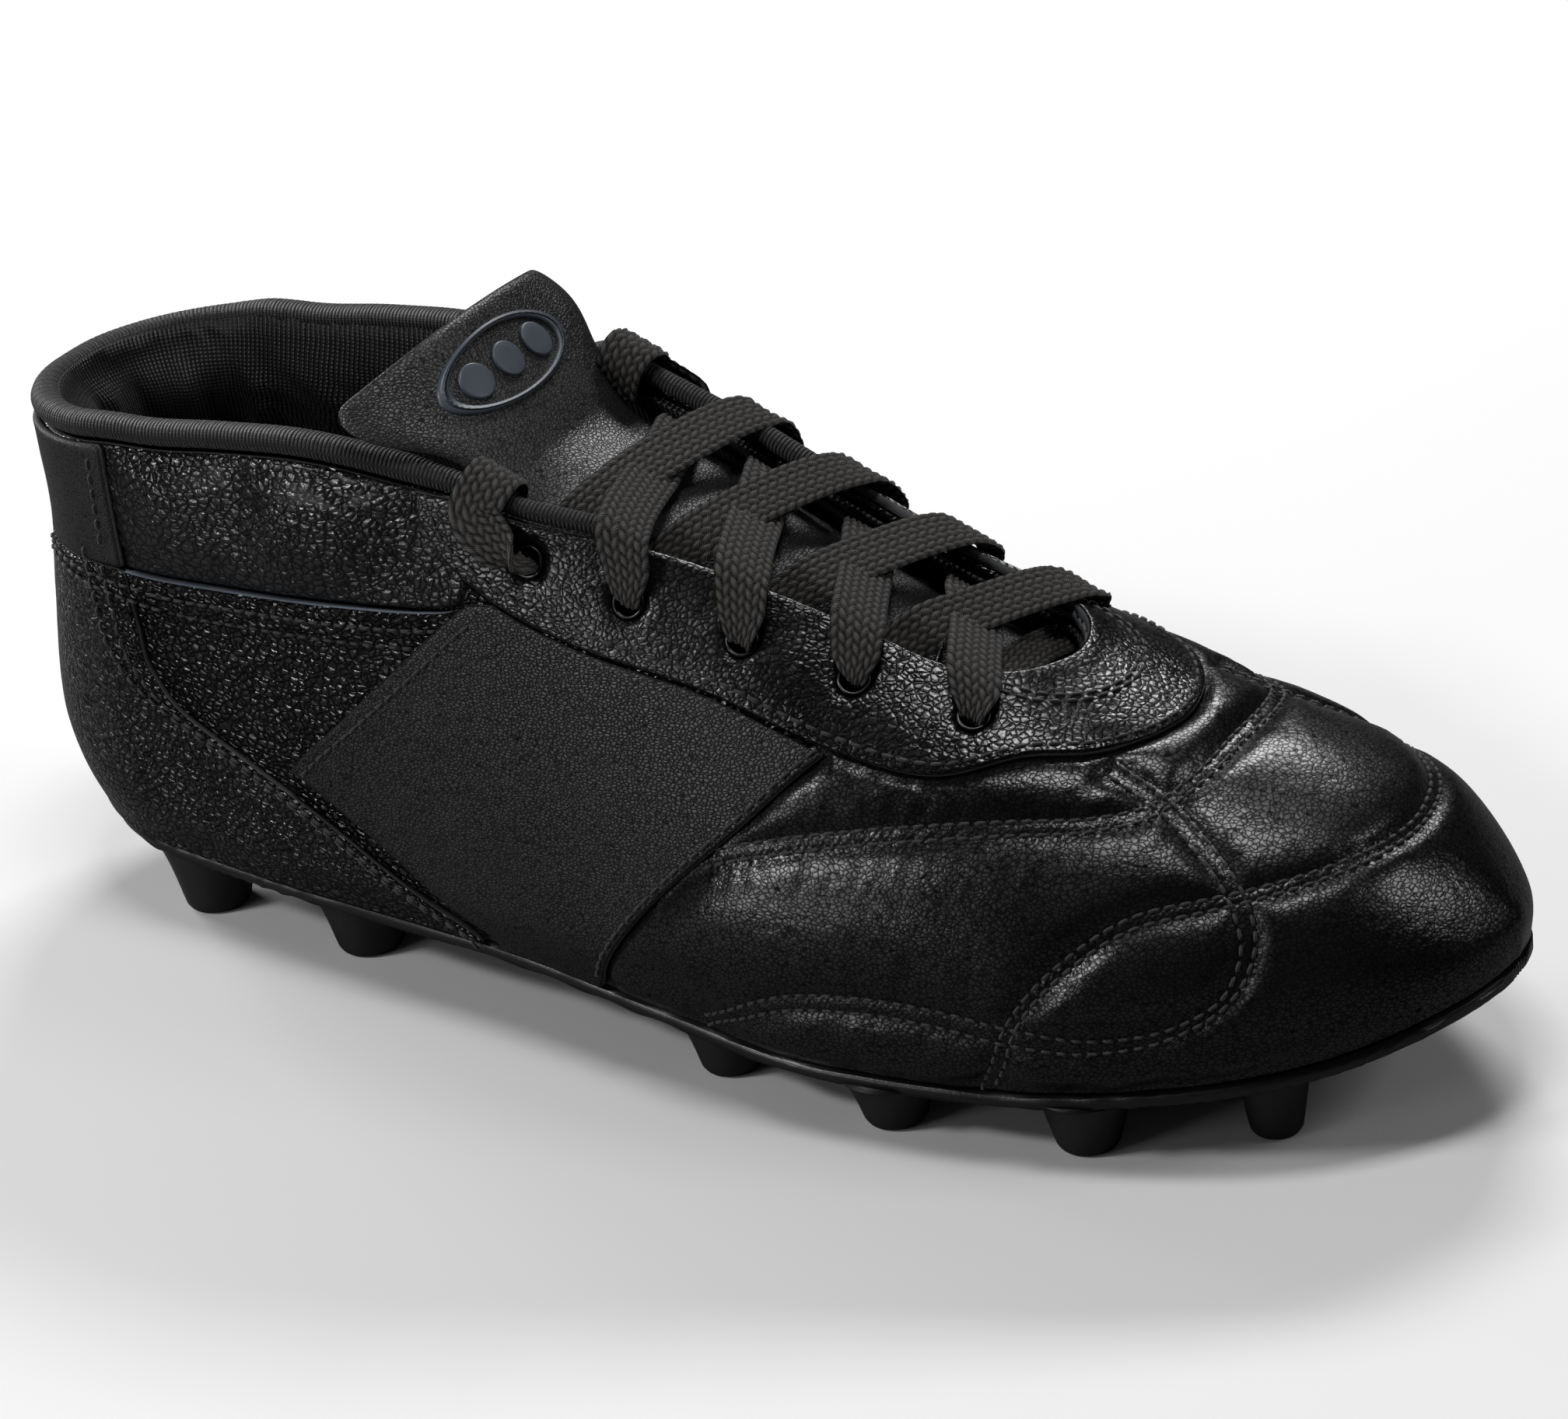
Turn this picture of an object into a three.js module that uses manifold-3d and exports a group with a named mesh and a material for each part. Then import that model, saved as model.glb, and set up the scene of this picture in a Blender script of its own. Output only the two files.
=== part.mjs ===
// A right-foot football boot with a mid-height padded collar, moulded studs and flat woven laces.
// Millimetres. +X runs from heel to toe, +Y to the inner (medial) side, +Z up. Everything is drawn from the heel:
// x = 0 is its rearmost point and z = 0 the ground. The finished boot is then moved so that its origin is on the
// ground under the middle of its bounding box.
//
// The upper is drawn on a last, the foot-shaped form it is built over. Every leather piece is a layer between
// two offsets of the last's surface, cut to its outline by rays from a point inside the last.
import * as THREE from "three";
import { mergeVertices } from "three/addons/utils/BufferGeometryUtils.js";
import Module from "manifold-3d";

const wasm = await Module();
wasm.setup();

// ---------- driving dimensions ----------
const LENGTH = 292; // upper, heel to toe
const LEATHER = 1.4; // upper leather
const OVERLAY = 1.2; // eyestay, counter cover, heel tab and saddle
const LINING = 1.2;
const GAP = 0.3; // between neighbouring layers
const SEAM = 0.5; // between panels that meet edge to edge
const SEAM_TURN = 0.35; // half of that and a little more, in pattern degrees
const PLATE = 3.2; // outsole plate
const RIM = 1.2; // the plate's edge stands out past the upper by this
const BOARD = 1.6; // lasting board
const FOOTBED = 4.0; // removable insole
const BINDING_R = 2.6; // rolled knit edge of the collar
const BINDING_THIN = 0.7; // its size down the throat, as a share of that
const HOLE_R = 3.0; // lace holes
const LACE_W = 8.0;
const LACE_T = 1.6;
const TONGUE_T = 3.4;
const TONGUE_TOP = -7.4; // the tongue's outer face, below the last's surface
const STUD_TIP_R = 5.2;
const STUD_ROOT_R = 8.2;
const PAD_R = 10.6; // raised pad of the plate round each stud
const PAD_T = 1.3;

// Stations along the boot, and the last's half widths, edge height, ridge height, roundness and centre there.
// The ridge behind x = 205 is above the opening: it only sets how steep the ankle walls are.
const STATION = [0, 30, 70, 110, 150, 185, 215, 245, 270, 292];
const outerHalf = curve(STATION, [31, 32, 35, 39, 45, 50, 49, 45, 41.5, 37]);
const innerHalf = curve(STATION, [31, 32, 33.5, 36, 40, 44.5, 47, 46.5, 42, 36]);
const featherZ = curve(STATION, [21.5, 19, 17, 17, 15, 13, 13.5, 16.5, 21, 28]);
const ridgeZ = curve(STATION, [190, 190, 177, 135, 106, 86, 74, 62.5, 55, 36]);
const outerRound = curve(STATION, [2, 2, 1.9, 1.8, 1.8, 1.9, 2.1, 2.3, 2.3, 2.2]);
const innerRound = curve(STATION, [2, 2.1, 2.2, 2.2, 2.1, 2.1, 2.2, 2.3, 2.3, 2.2]);
const centreY = curve(STATION, [0, 0.8, 0.5, 0.2, 0.2, 1.3, 2.7, 4.4, 5.7, 7]);
const heelBack = curve([15, 40, 65, 82, 100, 125], [9, -1, 2.5, 5.5, 3.5, 3.5]); // x of the heel by height
const HEEL_R = 34; // the heel rounds off in plan over this length
const TOE_R = 62; // and the toe over this
const TOE_POWER = 2.2;
const TUCK = 0.07; // the walls draw in by this share at the edge of the sole
const TUCK_Z = 6;

const collarEdge = curve([0, 40, 80, 104], [97.5, 101, 104, 101]); // top edge of the leather round the ankle
const throatHalf = curve([112, 120, 132, 148, 165, 195], [25.3, 25, 23.6, 20.8, 18.3, 15.5]); // half the gap between the eyestays
const THROAT_END = 215;
const BACK_X = 35; // front edge of the heel tab
const SEAM_Z = 77; // seam between collar panel and quarter

// ---------- small helpers ----------
// A monotone cubic through the given points, flat outside them.
function curve(xs, ys) {
  const n = xs.length;
  const slope = xs.slice(1).map((x, i) => (ys[i + 1] - ys[i]) / (x - xs[i]));
  const m = xs.map((_, i) => {
    if (i === 0 || i === n - 1) return slope[Math.min(i, n - 2)];
    const [a, b] = [slope[i - 1], slope[i]];
    if (a * b <= 0) return 0;
    const [h0, h1] = [xs[i] - xs[i - 1], xs[i + 1] - xs[i]];
    const [w0, w1] = [2 * h1 + h0, h1 + 2 * h0];
    return (w0 + w1) / (w0 / a + w1 / b);
  });
  return (x) => {
    const at = Math.min(Math.max(x, xs[0]), xs[n - 1]);
    let i = 0;
    while (i < n - 2 && at > xs[i + 1]) i++;
    const h = xs[i + 1] - xs[i];
    const t = (at - xs[i]) / h;
    return (
      (2 * t ** 3 - 3 * t ** 2 + 1) * ys[i] +
      (t ** 3 - 2 * t ** 2 + t) * h * m[i] +
      (3 * t ** 2 - 2 * t ** 3) * ys[i + 1] +
      (t ** 3 - t ** 2) * h * m[i + 1]
    );
  };
}

const clamp = THREE.MathUtils.clamp;
const smooth = THREE.MathUtils.smoothstep;
const vec = (x, y, z) => new THREE.Vector3(x, y, z);

// Evenly spaced points along a smooth curve through the given ones.
function spaced(points, count, closed = false) {
  return new THREE.CatmullRomCurve3(points, closed, "centripetal").getSpacedPoints(count);
}

// ---------- the last ----------
// Plan rounding of the heel and toe: 1 along the boot, falling to 0 at both ends.
function closure(x) {
  const heel = Math.sqrt(clamp(1 - Math.max(1 - x / HEEL_R, 0) ** 2, 1e-9, 1));
  const u = Math.max((x - (LENGTH - TOE_R)) / TOE_R, 0);
  return heel * clamp(1 - u ** TOE_POWER, 1e-9, 1) ** (1 / TOE_POWER);
}

// Negative inside the last, zero on its surface, positive outside.
function lastField(p) {
  const x = p.x - heelBack(p.z) * (1 - clamp(p.x / 70, 0, 1)) ** 2;
  if (x < 0 || x > LENGTH) return 1;
  const side = p.y - centreY(x);
  const up = Math.max(p.z - featherZ(x), 0);
  const half = (side < 0 ? outerHalf : innerHalf)(x) * closure(x) * (1 - TUCK * Math.exp(-((up / TUCK_Z) ** 2)));
  const round = (side < 0 ? outerRound : innerRound)(x);
  return (Math.abs(side) / half) ** round + (up / (ridgeZ(x) - featherZ(x))) ** round - 1;
}

const CORE = vec(150, 0, 30); // every ray that places or cuts a piece starts here
const STRETCH = 3; // the boot is about three times as long as it is wide
const REACH = 220; // from the core to well outside the last, whichever way

// The last point inside the last on the way from one point to another.
function crossing(inside, outside) {
  let near = 0;
  let far = 1;
  for (let i = 0; i < 30; i++) {
    const mid = (near + far) / 2;
    if (lastField(inside.clone().lerp(outside, mid)) < 0) near = mid;
    else far = mid;
  }
  return inside.clone().lerp(outside, near);
}

// The point where the ray from the core through p leaves the last.
const onLast = (p) => crossing(CORE, CORE.clone().add(p.clone().sub(CORE).setLength(REACH)));

// A point of the last's surface given in side view. side is -1 for the outer wall and 1 for the inner wall.
const onSide = (x, z, side) => crossing(vec(x, centreY(x), z), vec(x, centreY(x) + side * REACH, z));

// A point of the last's surface given in plan.
const onTop = (x, y) => crossing(vec(x, y, featherZ(x)), vec(x, y, REACH));

// A point of the heel's back, beside the centreline.
const onBack = (z, y) => crossing(vec(60, y, z), vec(60 - REACH, y, z));

// The last's surface opened out flat: angles from straight up at the core, stretched along the boot.
function toPattern(p) {
  const d = p.clone().sub(CORE);
  d.x /= STRETCH;
  const polar = THREE.MathUtils.radToDeg(Math.acos(d.z / d.length()));
  const turn = Math.atan2(d.y, d.x);
  return new THREE.Vector2(STRETCH * polar * Math.cos(turn), polar * Math.sin(turn));
}

function fromPattern(u, v) {
  const turn = Math.atan2(v, u / STRETCH);
  const polar = THREE.MathUtils.degToRad(Math.hypot(u / STRETCH, v));
  const reach = Math.sin(polar);
  return vec(STRETCH * reach * Math.cos(turn), reach * Math.sin(turn), Math.cos(polar)).normalize();
}

const patternPoint = (u, v) => onLast(CORE.clone().add(fromPattern(u, v)));

function normalAt(p) {
  const { x: u, y: v } = toPattern(p);
  const alongU = patternPoint(u + 1, v).sub(patternPoint(u - 1, v));
  const alongV = patternPoint(u, v + 1).sub(patternPoint(u, v - 1));
  return alongU.cross(alongV).normalize();
}

const offset = (p, h) => p.clone().addScaledVector(normalAt(p), h);

// ---------- the sole's outline and the opening ----------
// Edge of the upper at the sole, u from 0 at the heel to 1 at the toe, drawn in by inset.
function footprint(u, side, inset) {
  const x = LENGTH * u;
  const half = ((side < 0 ? outerHalf : innerHalf)(x) * (1 - TUCK) - inset) * closure(x);
  const along = inset + (LENGTH - 2 * inset) * u;
  const back = heelBack(featherZ(x)) * (1 - clamp(along / 70, 0, 1)) ** 2;
  return vec(along + back, centreY(x) + side * half, featherZ(x));
}

const endSpaced = (i, n) => 0.5 - 0.5 * Math.cos((Math.PI * i) / n); // close together at both ends

const RING = 56; // meridians of the upper, half on each side
const RISE = 6; // rows from the sole to the opening

// The opening's edge on one side, from the middle of the heel to the middle of the throat's front end.
function openingSide(side) {
  const collar = [6, 13, 24, 40, 60, 80, 94, 103].map((x) => onSide(x, collarEdge(x), side));
  const throat = [112, 120, 132, 148, 165, 185, 200].map((x) => onTop(x, centreY(x) + side * throatHalf(x)));
  return [onBack(collarEdge(0), 0), ...collar, ...throat, onTop(THROAT_END - 4.5, 2.6 + side * 10.5), onTop(THROAT_END, 2.6)];
}

// Feather edge and opening edge as matched rings of points, outer side first.
function rings() {
  const half = RING / 2;
  const feather = [];
  const opening = [];
  for (const side of [-1, 1]) {
    const edge = spaced(openingSide(side), half).map(onLast);
    const along = Array.from({ length: 41 }, (_, i) => footprint(endSpaced(i, 40), side, 0));
    const low = spaced(along, half);
    const order = side < 0 ? [...edge.keys()].slice(0, half) : [...edge.keys()].slice(1).reverse();
    for (const i of order) {
      feather.push(low[i]);
      opening.push(edge[i]);
    }
  }
  return { feather, opening };
}

const { feather, opening } = rings();

// Rows of points on the last from the feather edge up to the opening.
const SKIN = Array.from({ length: RISE + 1 }, (_, row) =>
  feather.map((f, k) => {
    const a = toPattern(onLast(f.clone().setZ(f.z + 0.6)));
    const b = toPattern(opening[k]);
    const at = a.lerp(b, row / RISE);
    return patternPoint(at.x, at.y);
  }),
);
const SKIN_NORMALS = SKIN.map((row) => row.map(normalAt));

// ---------- solids ----------
function solid(positions, triangles) {
  const geometry = new THREE.BufferGeometry();
  geometry.setAttribute("position", new THREE.Float32BufferAttribute(positions, 3));
  geometry.setIndex(triangles);
  return solidFrom(geometry);
}

function solidFrom(geometry) {
  const bare = geometry.clone();
  for (const name of Object.keys(bare.attributes)) if (name !== "position") bare.deleteAttribute(name);
  const merged = mergeVertices(bare, 1e-4);
  return new wasm.Manifold(
    new wasm.Mesh({
      numProp: 3,
      vertProperties: new Float32Array(merged.attributes.position.array),
      triVerts: new Uint32Array(merged.index.array),
    }),
  );
}

function geometryOf(body) {
  const mesh = body.getMesh();
  const positions = new Float32Array(mesh.numVert * 3);
  for (let i = 0; i < mesh.numVert; i++) {
    positions.set(mesh.vertProperties.subarray(i * mesh.numProp, i * mesh.numProp + 3), i * 3);
  }
  const geometry = new THREE.BufferGeometry();
  geometry.setAttribute("position", new THREE.BufferAttribute(positions, 3));
  geometry.setIndex(new THREE.BufferAttribute(mesh.triVerts, 1));
  geometry.computeVertexNormals();
  return geometry;
}

// The largest body of a solid, so that a cut leaves no crumbs.
function whole(body) {
  return body.decompose().sort((a, b) => b.volume() - a.volume())[0];
}

// The layer of the whole upper between two offsets from the last, each a number or a function of the point.
function layer(low, high) {
  const value = (h, p) => (typeof h === "number" ? h : h(p));
  const positions = [];
  for (const h of [low, high]) {
    SKIN.forEach((row, r) =>
      row.forEach((p, k) => positions.push(...p.clone().addScaledVector(SKIN_NORMALS[r][k], value(h, p)).toArray())),
    );
  }
  const sheet = (RISE + 1) * RING;
  const at = (r, k, top) => top * sheet + r * RING + (k % RING);
  const triangles = [];
  const quad = (a, b, c, d) => triangles.push(a, b, c, a, c, d);
  for (let k = 0; k < RING; k++) {
    for (let r = 0; r < RISE; r++) {
      quad(at(r, k, 1), at(r, k + 1, 1), at(r + 1, k + 1, 1), at(r + 1, k, 1));
      quad(at(r, k, 0), at(r + 1, k, 0), at(r + 1, k + 1, 0), at(r, k + 1, 0));
    }
    quad(at(0, k, 0), at(0, k + 1, 0), at(0, k + 1, 1), at(0, k, 1));
    quad(at(RISE, k, 1), at(RISE, k + 1, 1), at(RISE, k + 1, 0), at(RISE, k, 0));
  }
  return solid(positions, triangles);
}

// A closed outline as triangles with no side longer than FINE, in pattern degrees.
const FINE = 24;

function triangulate(outline) {
  const points = outline.map((p) => p.clone());
  if (THREE.ShapeUtils.isClockWise(points)) points.reverse();
  const waiting = THREE.ShapeUtils.triangulateShape(points, []);
  const middles = new Map();
  const middle = (a, b) => {
    const key = Math.min(a, b) * 1e5 + Math.max(a, b);
    if (!middles.has(key)) middles.set(key, points.push(points[a].clone().lerp(points[b], 0.5)) - 1);
    return middles.get(key);
  };
  const faces = [];
  while (waiting.length) {
    const [a, b, c] = waiting.pop();
    const [ab, bc, ca] = [[a, b], [b, c], [c, a]].map(([i, j]) => points[i].distanceTo(points[j]));
    if (Math.max(ab, bc, ca) <= FINE) faces.push([a, b, c]);
    else if (ab >= bc && ab >= ca) waiting.push([a, middle(a, b), c], [middle(a, b), b, c]);
    else if (bc >= ca) waiting.push([b, middle(b, c), a], [middle(b, c), c, a]);
    else waiting.push([c, middle(c, a), b], [middle(c, a), a, b]);
  }
  return { points, faces };
}

// The cone of rays from the core through a closed outline on the last.
function cutter(outline) {
  const { points, faces } = triangulate(outline);
  const rays = points.map((p) => fromPattern(p.x, p.y));
  const reaches = points.map((p) => patternPoint(p.x, p.y).distanceTo(CORE));
  const shell = (share) => rays.flatMap((ray, i) => CORE.clone().addScaledVector(ray, reaches[i] * share).toArray());
  const n = points.length;
  const triangles = faces.flatMap(([a, b, c]) => [a + n, b + n, c + n, a, c, b]);
  const inner = new Set(faces.flatMap(([a, b, c]) => [`${b},${a}`, `${c},${b}`, `${a},${c}`]));
  for (const [a, b, c] of faces) {
    for (const [i, j] of [[a, b], [b, c], [c, a]]) {
      if (!inner.has(`${i},${j}`)) triangles.push(i, j, j + n, i, j + n, i + n);
    }
  }
  return solid([...shell(0.6), ...shell(1.35)], triangles);
}

const panel = (skin, outline) => whole(skin.intersect(cutter(outline)));

// ---------- outlines, in pattern space ----------
const atSide = (x, z, side) => toPattern(onSide(x, z, side));
const atTop = (x, y) => toPattern(onTop(x, y));
const columns = (pairs) => [pairs.map(([a]) => a), pairs.map(([, b]) => b)];
const shifted = (line, dx, dz) => line.map(([x, z]) => [x + dx, z + dz]);

// A smooth line down one side, through [x, z] points.
function sideLine(side, points, count = 10) {
  return spaced(points.map(([x, z]) => onSide(x, z, side)), count).map((p) => toPattern(onLast(p)));
}

// Points just outside the sole's edge, so that the sole's edge is what cuts the panel.
function skirt(side, xs) {
  return xs.map((x) => {
    const u = clamp(x / LENGTH, 0.0005, 0.9995);
    return toPattern(onLast(footprint(u, side, 0))).multiplyScalar(1.06);
  });
}

// Points well inside the opening, so that the opening's edge is what cuts the panel.
function mouth(side, xs) {
  return xs.map((x) => atSide(x, collarEdge(x) + 12, side));
}

// A line drawn again a little to its left, so that the two pieces that share it don't touch.
function beside(line, gap) {
  return line.map((p, i) => {
    const along = line[Math.min(i + 1, line.length - 1)].clone().sub(line[Math.max(i - 1, 0)]).normalize();
    return new THREE.Vector2(p.x - along.y * gap, p.y + along.x * gap);
  });
}

const behind = (z, side) => toPattern(onBack(z, (side * SEAM) / 2)); // beside the seam up the heel, or on it

// Eyestay: a U round the throat, from the collar down both sides and across the vamp.
const EYESTAY_SIDE = [
  [100.5, 110],
  [102, 98],
  [107, 91],
  [118, 84],
  [136, 78.5],
  [160, 74.2],
  [184, 67.5],
  [204, 64.5],
];
const EYESTAY_FRONT = [
  [217, 24],
  [227, 18],
  [233.5, 9],
];

function eyestayOutline() {
  const down = (side) => [
    ...EYESTAY_SIDE.map(([x, z]) => onSide(x, z, side)),
    ...EYESTAY_FRONT.map(([x, y]) => onTop(x, 3 + side * y)),
  ];
  const rim = spaced([...down(-1), onTop(235.5, 3), ...down(1).reverse()], 60).map((p) => toPattern(onLast(p)));
  return [...rim, atTop(112, 14), atTop(200, 3), atTop(112, -14)];
}

// Lines down each side.
const HEEL_LINE = [
  [9, SEAM_Z - 1],
  [18, SEAM_Z - 0.4],
  [28, SEAM_Z],
  [BACK_X, SEAM_Z],
];
const COUNTER_EDGE = [
  [BACK_X + 0.6, SEAM_Z - 1.5],
  [37, 66],
  [39, 57],
  [46, 49.5],
  [59, 43.5],
  [74, 36.6],
  [88, 29.5],
  [101, 23],
  [110, 17.5],
];
const SADDLE_BACK = [
  [70.8, 44.5],
  [86, 58.5],
  [99, 70.5],
  [113, 83],
];
const SADDLE_LOW = [
  [71.5, 43.6],
  [86, 36],
  [100, 27.8],
  [113, 20.5],
];
const SADDLE_FRONT = [
  [184, 67.4],
  [170, 54.5],
  [154, 39.5],
  [138, 17.5],
];
const COLLAR_SEAM = [
  [10, SEAM_Z - 1.6],
  [22, SEAM_Z - 1.2],
  [37, SEAM_Z - 0.6],
  [55, SEAM_Z - 0.2],
  [80, SEAM_Z + 1.2],
  [103, SEAM_Z + 3],
  [111, SEAM_Z + 5],
  [111, SEAM_Z + 9],
  [107, 92],
  [104, 98],
  [103, 111],
];
const collarSeam = (side) => COLLAR_SEAM.map(([x, z]) => atSide(x, z, side));

// The vamp's back edge, from the throat down to the sole.
function vampSeam(side) {
  const plan = [4, 16, 23].map((y) => onTop(196, 3 + side * y));
  const wall = [
    [183, 69],
    [166, 54],
    [148, 37],
    [130, 17],
  ].map(([x, z]) => onSide(x, z, side));
  return spaced([...plan, ...wall], 14).map((p) => toPattern(onLast(p)));
}

const BACK_SEAM = [118, 98, 86, SEAM_Z]; // heights on the seam up the heel, above the collar seam

function counterOutline() {
  const half = (side) => [
    behind(SEAM_Z - 1 - SEAM / 2, 0),
    ...shifted(HEEL_LINE, 0, -SEAM / 2).map(([x, z]) => atSide(x, z, side)),
    ...sideLine(side, COUNTER_EDGE, 12),
    ...skirt(side, [110, 90, 70, 50, 30, 16, 6, 1]),
  ];
  return [...half(-1), ...half(1).slice(1).reverse()];
}

function heelTabOutline() {
  const half = (side) => [
    behind(SEAM_Z - 1 + SEAM / 2, 0),
    ...shifted(HEEL_LINE, 0, SEAM / 2).map(([x, z]) => atSide(x, z, side)),
    atSide(BACK_X - 0.6, 90, side),
    ...mouth(side, [BACK_X - 1.4, 24, 12]),
  ];
  return [...half(-1), ...half(1).slice(1).reverse()];
}

function collarPanelOutline(side) {
  const seam = beside(collarSeam(side), -side * SEAM_TURN);
  return [...seam, ...mouth(side, [92, 70, 50, 30, 15]), ...BACK_SEAM.map((z) => behind(z - 1.4, side))];
}

function quarterOutline(side) {
  return [
    behind(SEAM_Z - 2.2, side),
    ...beside(collarSeam(side), side * SEAM_TURN),
    atTop(112, side * 14),
    ...beside(vampSeam(side), side * SEAM_TURN),
    ...skirt(side, [128, 110, 90, 70, 50, 30, 16, 6, 1]),
    behind(6, side),
  ];
}

function vampOutline() {
  const half = (side) => [
    ...beside(vampSeam(side), -side * SEAM_TURN),
    ...skirt(side, [132, 155, 180, 205, 230, 250, 265, 277, 286, 291]),
  ];
  return [...half(-1), ...half(1).reverse()];
}

function saddleOutline(side) {
  const top = [124, 140, 160, 175].map((x) => atSide(x, curve(...columns(EYESTAY_SIDE))(x) - 2 * SEAM, side));
  const foot = skirt(side, [116, 136]);
  return [
    ...sideLine(side, SADDLE_BACK, 8),
    ...top,
    ...sideLine(side, shifted(SADDLE_FRONT, 0, -2 * SEAM), 8),
    ...foot.reverse(),
    ...sideLine(side, SADDLE_LOW, 6).reverse(),
  ];
}

// ---------- layers of the upper ----------
// What lies between leather and lining: foam at the collar, stiffeners at the heel and toe.
const foamAt = (p) => 3.8 * smooth(p.z, SEAM_Z - 3, SEAM_Z + 7) * (1 - smooth(p.x, 88, 106));
const counterAt = (p) => 1.6 * (1 - smooth(p.z, 60, 72)) * (1 - smooth(p.x, 62, 84));
const puffAt = (p) => 1.2 * smooth(p.x, 248, 262);
const fillAt = (p) => Math.max(foamAt(p), counterAt(p), puffAt(p), 0.4);

const leather = layer(-LEATHER, 0);
const overlay = layer(GAP, GAP + OVERLAY);
const filling = layer((p) => -LEATHER - GAP - fillAt(p), -LEATHER - GAP);
const liningTop = (p) => -LEATHER - 2 * GAP - fillAt(p);
const lining = layer((p) => liningTop(p) - LINING, liningTop);

// The foam of the collar is two pads that meet behind the heel.
function foamOutline(side) {
  const low = [10, 20, 40, 60, 78, 90].map((x) => atSide(x, SEAM_Z + 3, side));
  return [behind(SEAM_Z + 3, side), ...low, ...mouth(side, [92, 70, 50, 30, 15]), behind(118, side)];
}

function stiffenerOutline() {
  const half = (side) => [
    behind(62, 0),
    ...[12, 30, 46, 60, 66].map((x) => atSide(x, 62 - 0.004 * x * x, side)),
    atSide(74, 30, side),
    ...skirt(side, [74, 50, 30, 16, 6, 1]),
  ];
  return [...half(-1), ...half(1).slice(1).reverse()];
}

function puffOutline() {
  const half = (side) => [atTop(255, 5 + side * 16), atTop(251, 5 + side * 30), ...skirt(side, [246, 260, 272, 282, 289])];
  return [atTop(256, 5), ...half(-1), ...half(1).reverse()];
}

// ---------- lace holes ----------
const HOLE_X = [206.5, 185.5, 165.5, 144.5, 125]; // from the toe
const HOLE_Y = [21.5, 23.5, 25, 26.5, 27]; // out from the centreline
const holeAt = (k, side) => onTop(HOLE_X[k], centreY(HOLE_X[k]) + side * HOLE_Y[k]);

// A cylinder on the last's normal at p, from low to high.
function plug(p, radius, low, high, sides = 12) {
  const geometry = new THREE.CylinderGeometry(radius, radius, high - low, sides);
  geometry.translate(0, (high + low) / 2, 0);
  placeOn(geometry, p);
  return solidFrom(geometry);
}

// Turns a geometry built along +Y so that it stands on the last at p.
function placeOn(geometry, p) {
  const turn = new THREE.Quaternion().setFromUnitVectors(vec(0, 1, 0), normalAt(p));
  geometry.applyQuaternion(turn).translate(p.x, p.y, p.z);
  return geometry;
}

const holes = [];
for (const side of [-1, 1]) HOLE_X.forEach((_, k) => holes.push(plug(holeAt(k, side), HOLE_R, -9, 9)));
const punched = (body) => whole(holes.reduce((rest, hole) => rest.subtract(hole), body));

function eyelet(k, side) {
  const barrel = HOLE_R - GAP;
  const bore = barrel - 0.35;
  const seat = GAP + OVERLAY + 2 * GAP;
  const profile = [
    [bore, -3.3],
    [barrel, -3.3],
    [barrel, seat],
    [barrel + 0.9, seat],
    [barrel + 0.6, seat + 0.5],
    [bore, seat + 0.5],
    [bore, -3.3],
  ].map(([r, y]) => new THREE.Vector2(r, y));
  return placeOn(new THREE.LatheGeometry(profile, 12), holeAt(k, side));
}

// ---------- sole ----------
const SOLE_STEPS = 26;

// A slab that follows the sole's curve, between two heights above the feather edge.
function soleSlab(inset, low, high, first = 0, last = SOLE_STEPS) {
  const positions = [];
  for (let i = first; i <= last; i++) {
    const u = clamp(endSpaced(i, SOLE_STEPS), 0.0012, 0.9988);
    for (const side of [-1, 1]) {
      const p = footprint(u, side, inset);
      positions.push(p.x, p.y, p.z + low, p.x, p.y, p.z + high);
    }
  }
  const triangles = [];
  const quad = (a, b, c, d) => triangles.push(a, b, c, a, c, d);
  for (let i = 0; i < last - first; i++) {
    const [a, b] = [4 * i, 4 * i + 4];
    quad(a + 1, b + 1, b + 3, a + 3);
    quad(a, a + 2, b + 2, b);
    quad(a, b, b + 1, a + 1);
    quad(a + 2, a + 3, b + 3, b + 2);
  }
  const end = 4 * (last - first);
  quad(0, 1, 3, 2);
  quad(end, end + 2, end + 3, end + 1);
  return solid(positions, triangles);
}

// Stud centres: [x, y, which]. Two pairs under the heel and four pairs under the forefoot.
const STUDS = {
  stud_heel_outer_rear: [33, -17.5],
  stud_heel_inner_rear: [33, 18.5],
  stud_heel_outer_front: [71, -20.5],
  stud_heel_inner_front: [71, 21],
  stud_outer_1: [158, -32.5],
  stud_outer_2: [194, -37],
  stud_outer_3: [229, -32],
  stud_outer_4: [257, -16.5],
  stud_inner_1: [164, 28],
  stud_inner_2: [199, 34],
  stud_inner_3: [234, 35],
  stud_inner_4: [262, 24],
};
const PLATE_TOP = -GAP;

const slimmer = (x) => (x > 250 ? 0.82 : 1); // the two studs under the toe are smaller

function revolve(profile, x, y, z, sides = 18) {
  const geometry = new THREE.LatheGeometry(profile.map(([r, h]) => new THREE.Vector2(r, h)), sides);
  geometry.rotateX(Math.PI / 2).translate(x, y, z);
  return solidFrom(geometry);
}

function studPad([x, y]) {
  const r = PAD_R * slimmer(x);
  const z = featherZ(x) + PLATE_TOP - PLATE;
  return revolve([[0, -PAD_T], [r - 2, -PAD_T], [r, 0], [r, 1.6], [0, 1.6]], x, y, z);
}

// Tip on the ground, root inside the plate, so that the plate cuts its top face.
function studBlank([x, y]) {
  const [tip, root] = [STUD_TIP_R * slimmer(x), STUD_ROOT_R * slimmer(x)];
  const top = featherZ(x) + PLATE_TOP - PLATE + 1;
  return revolve([[0, 0], [tip - 1, 0], [tip, 1], [root, top], [0, top]], x, y, 0);
}

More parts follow.
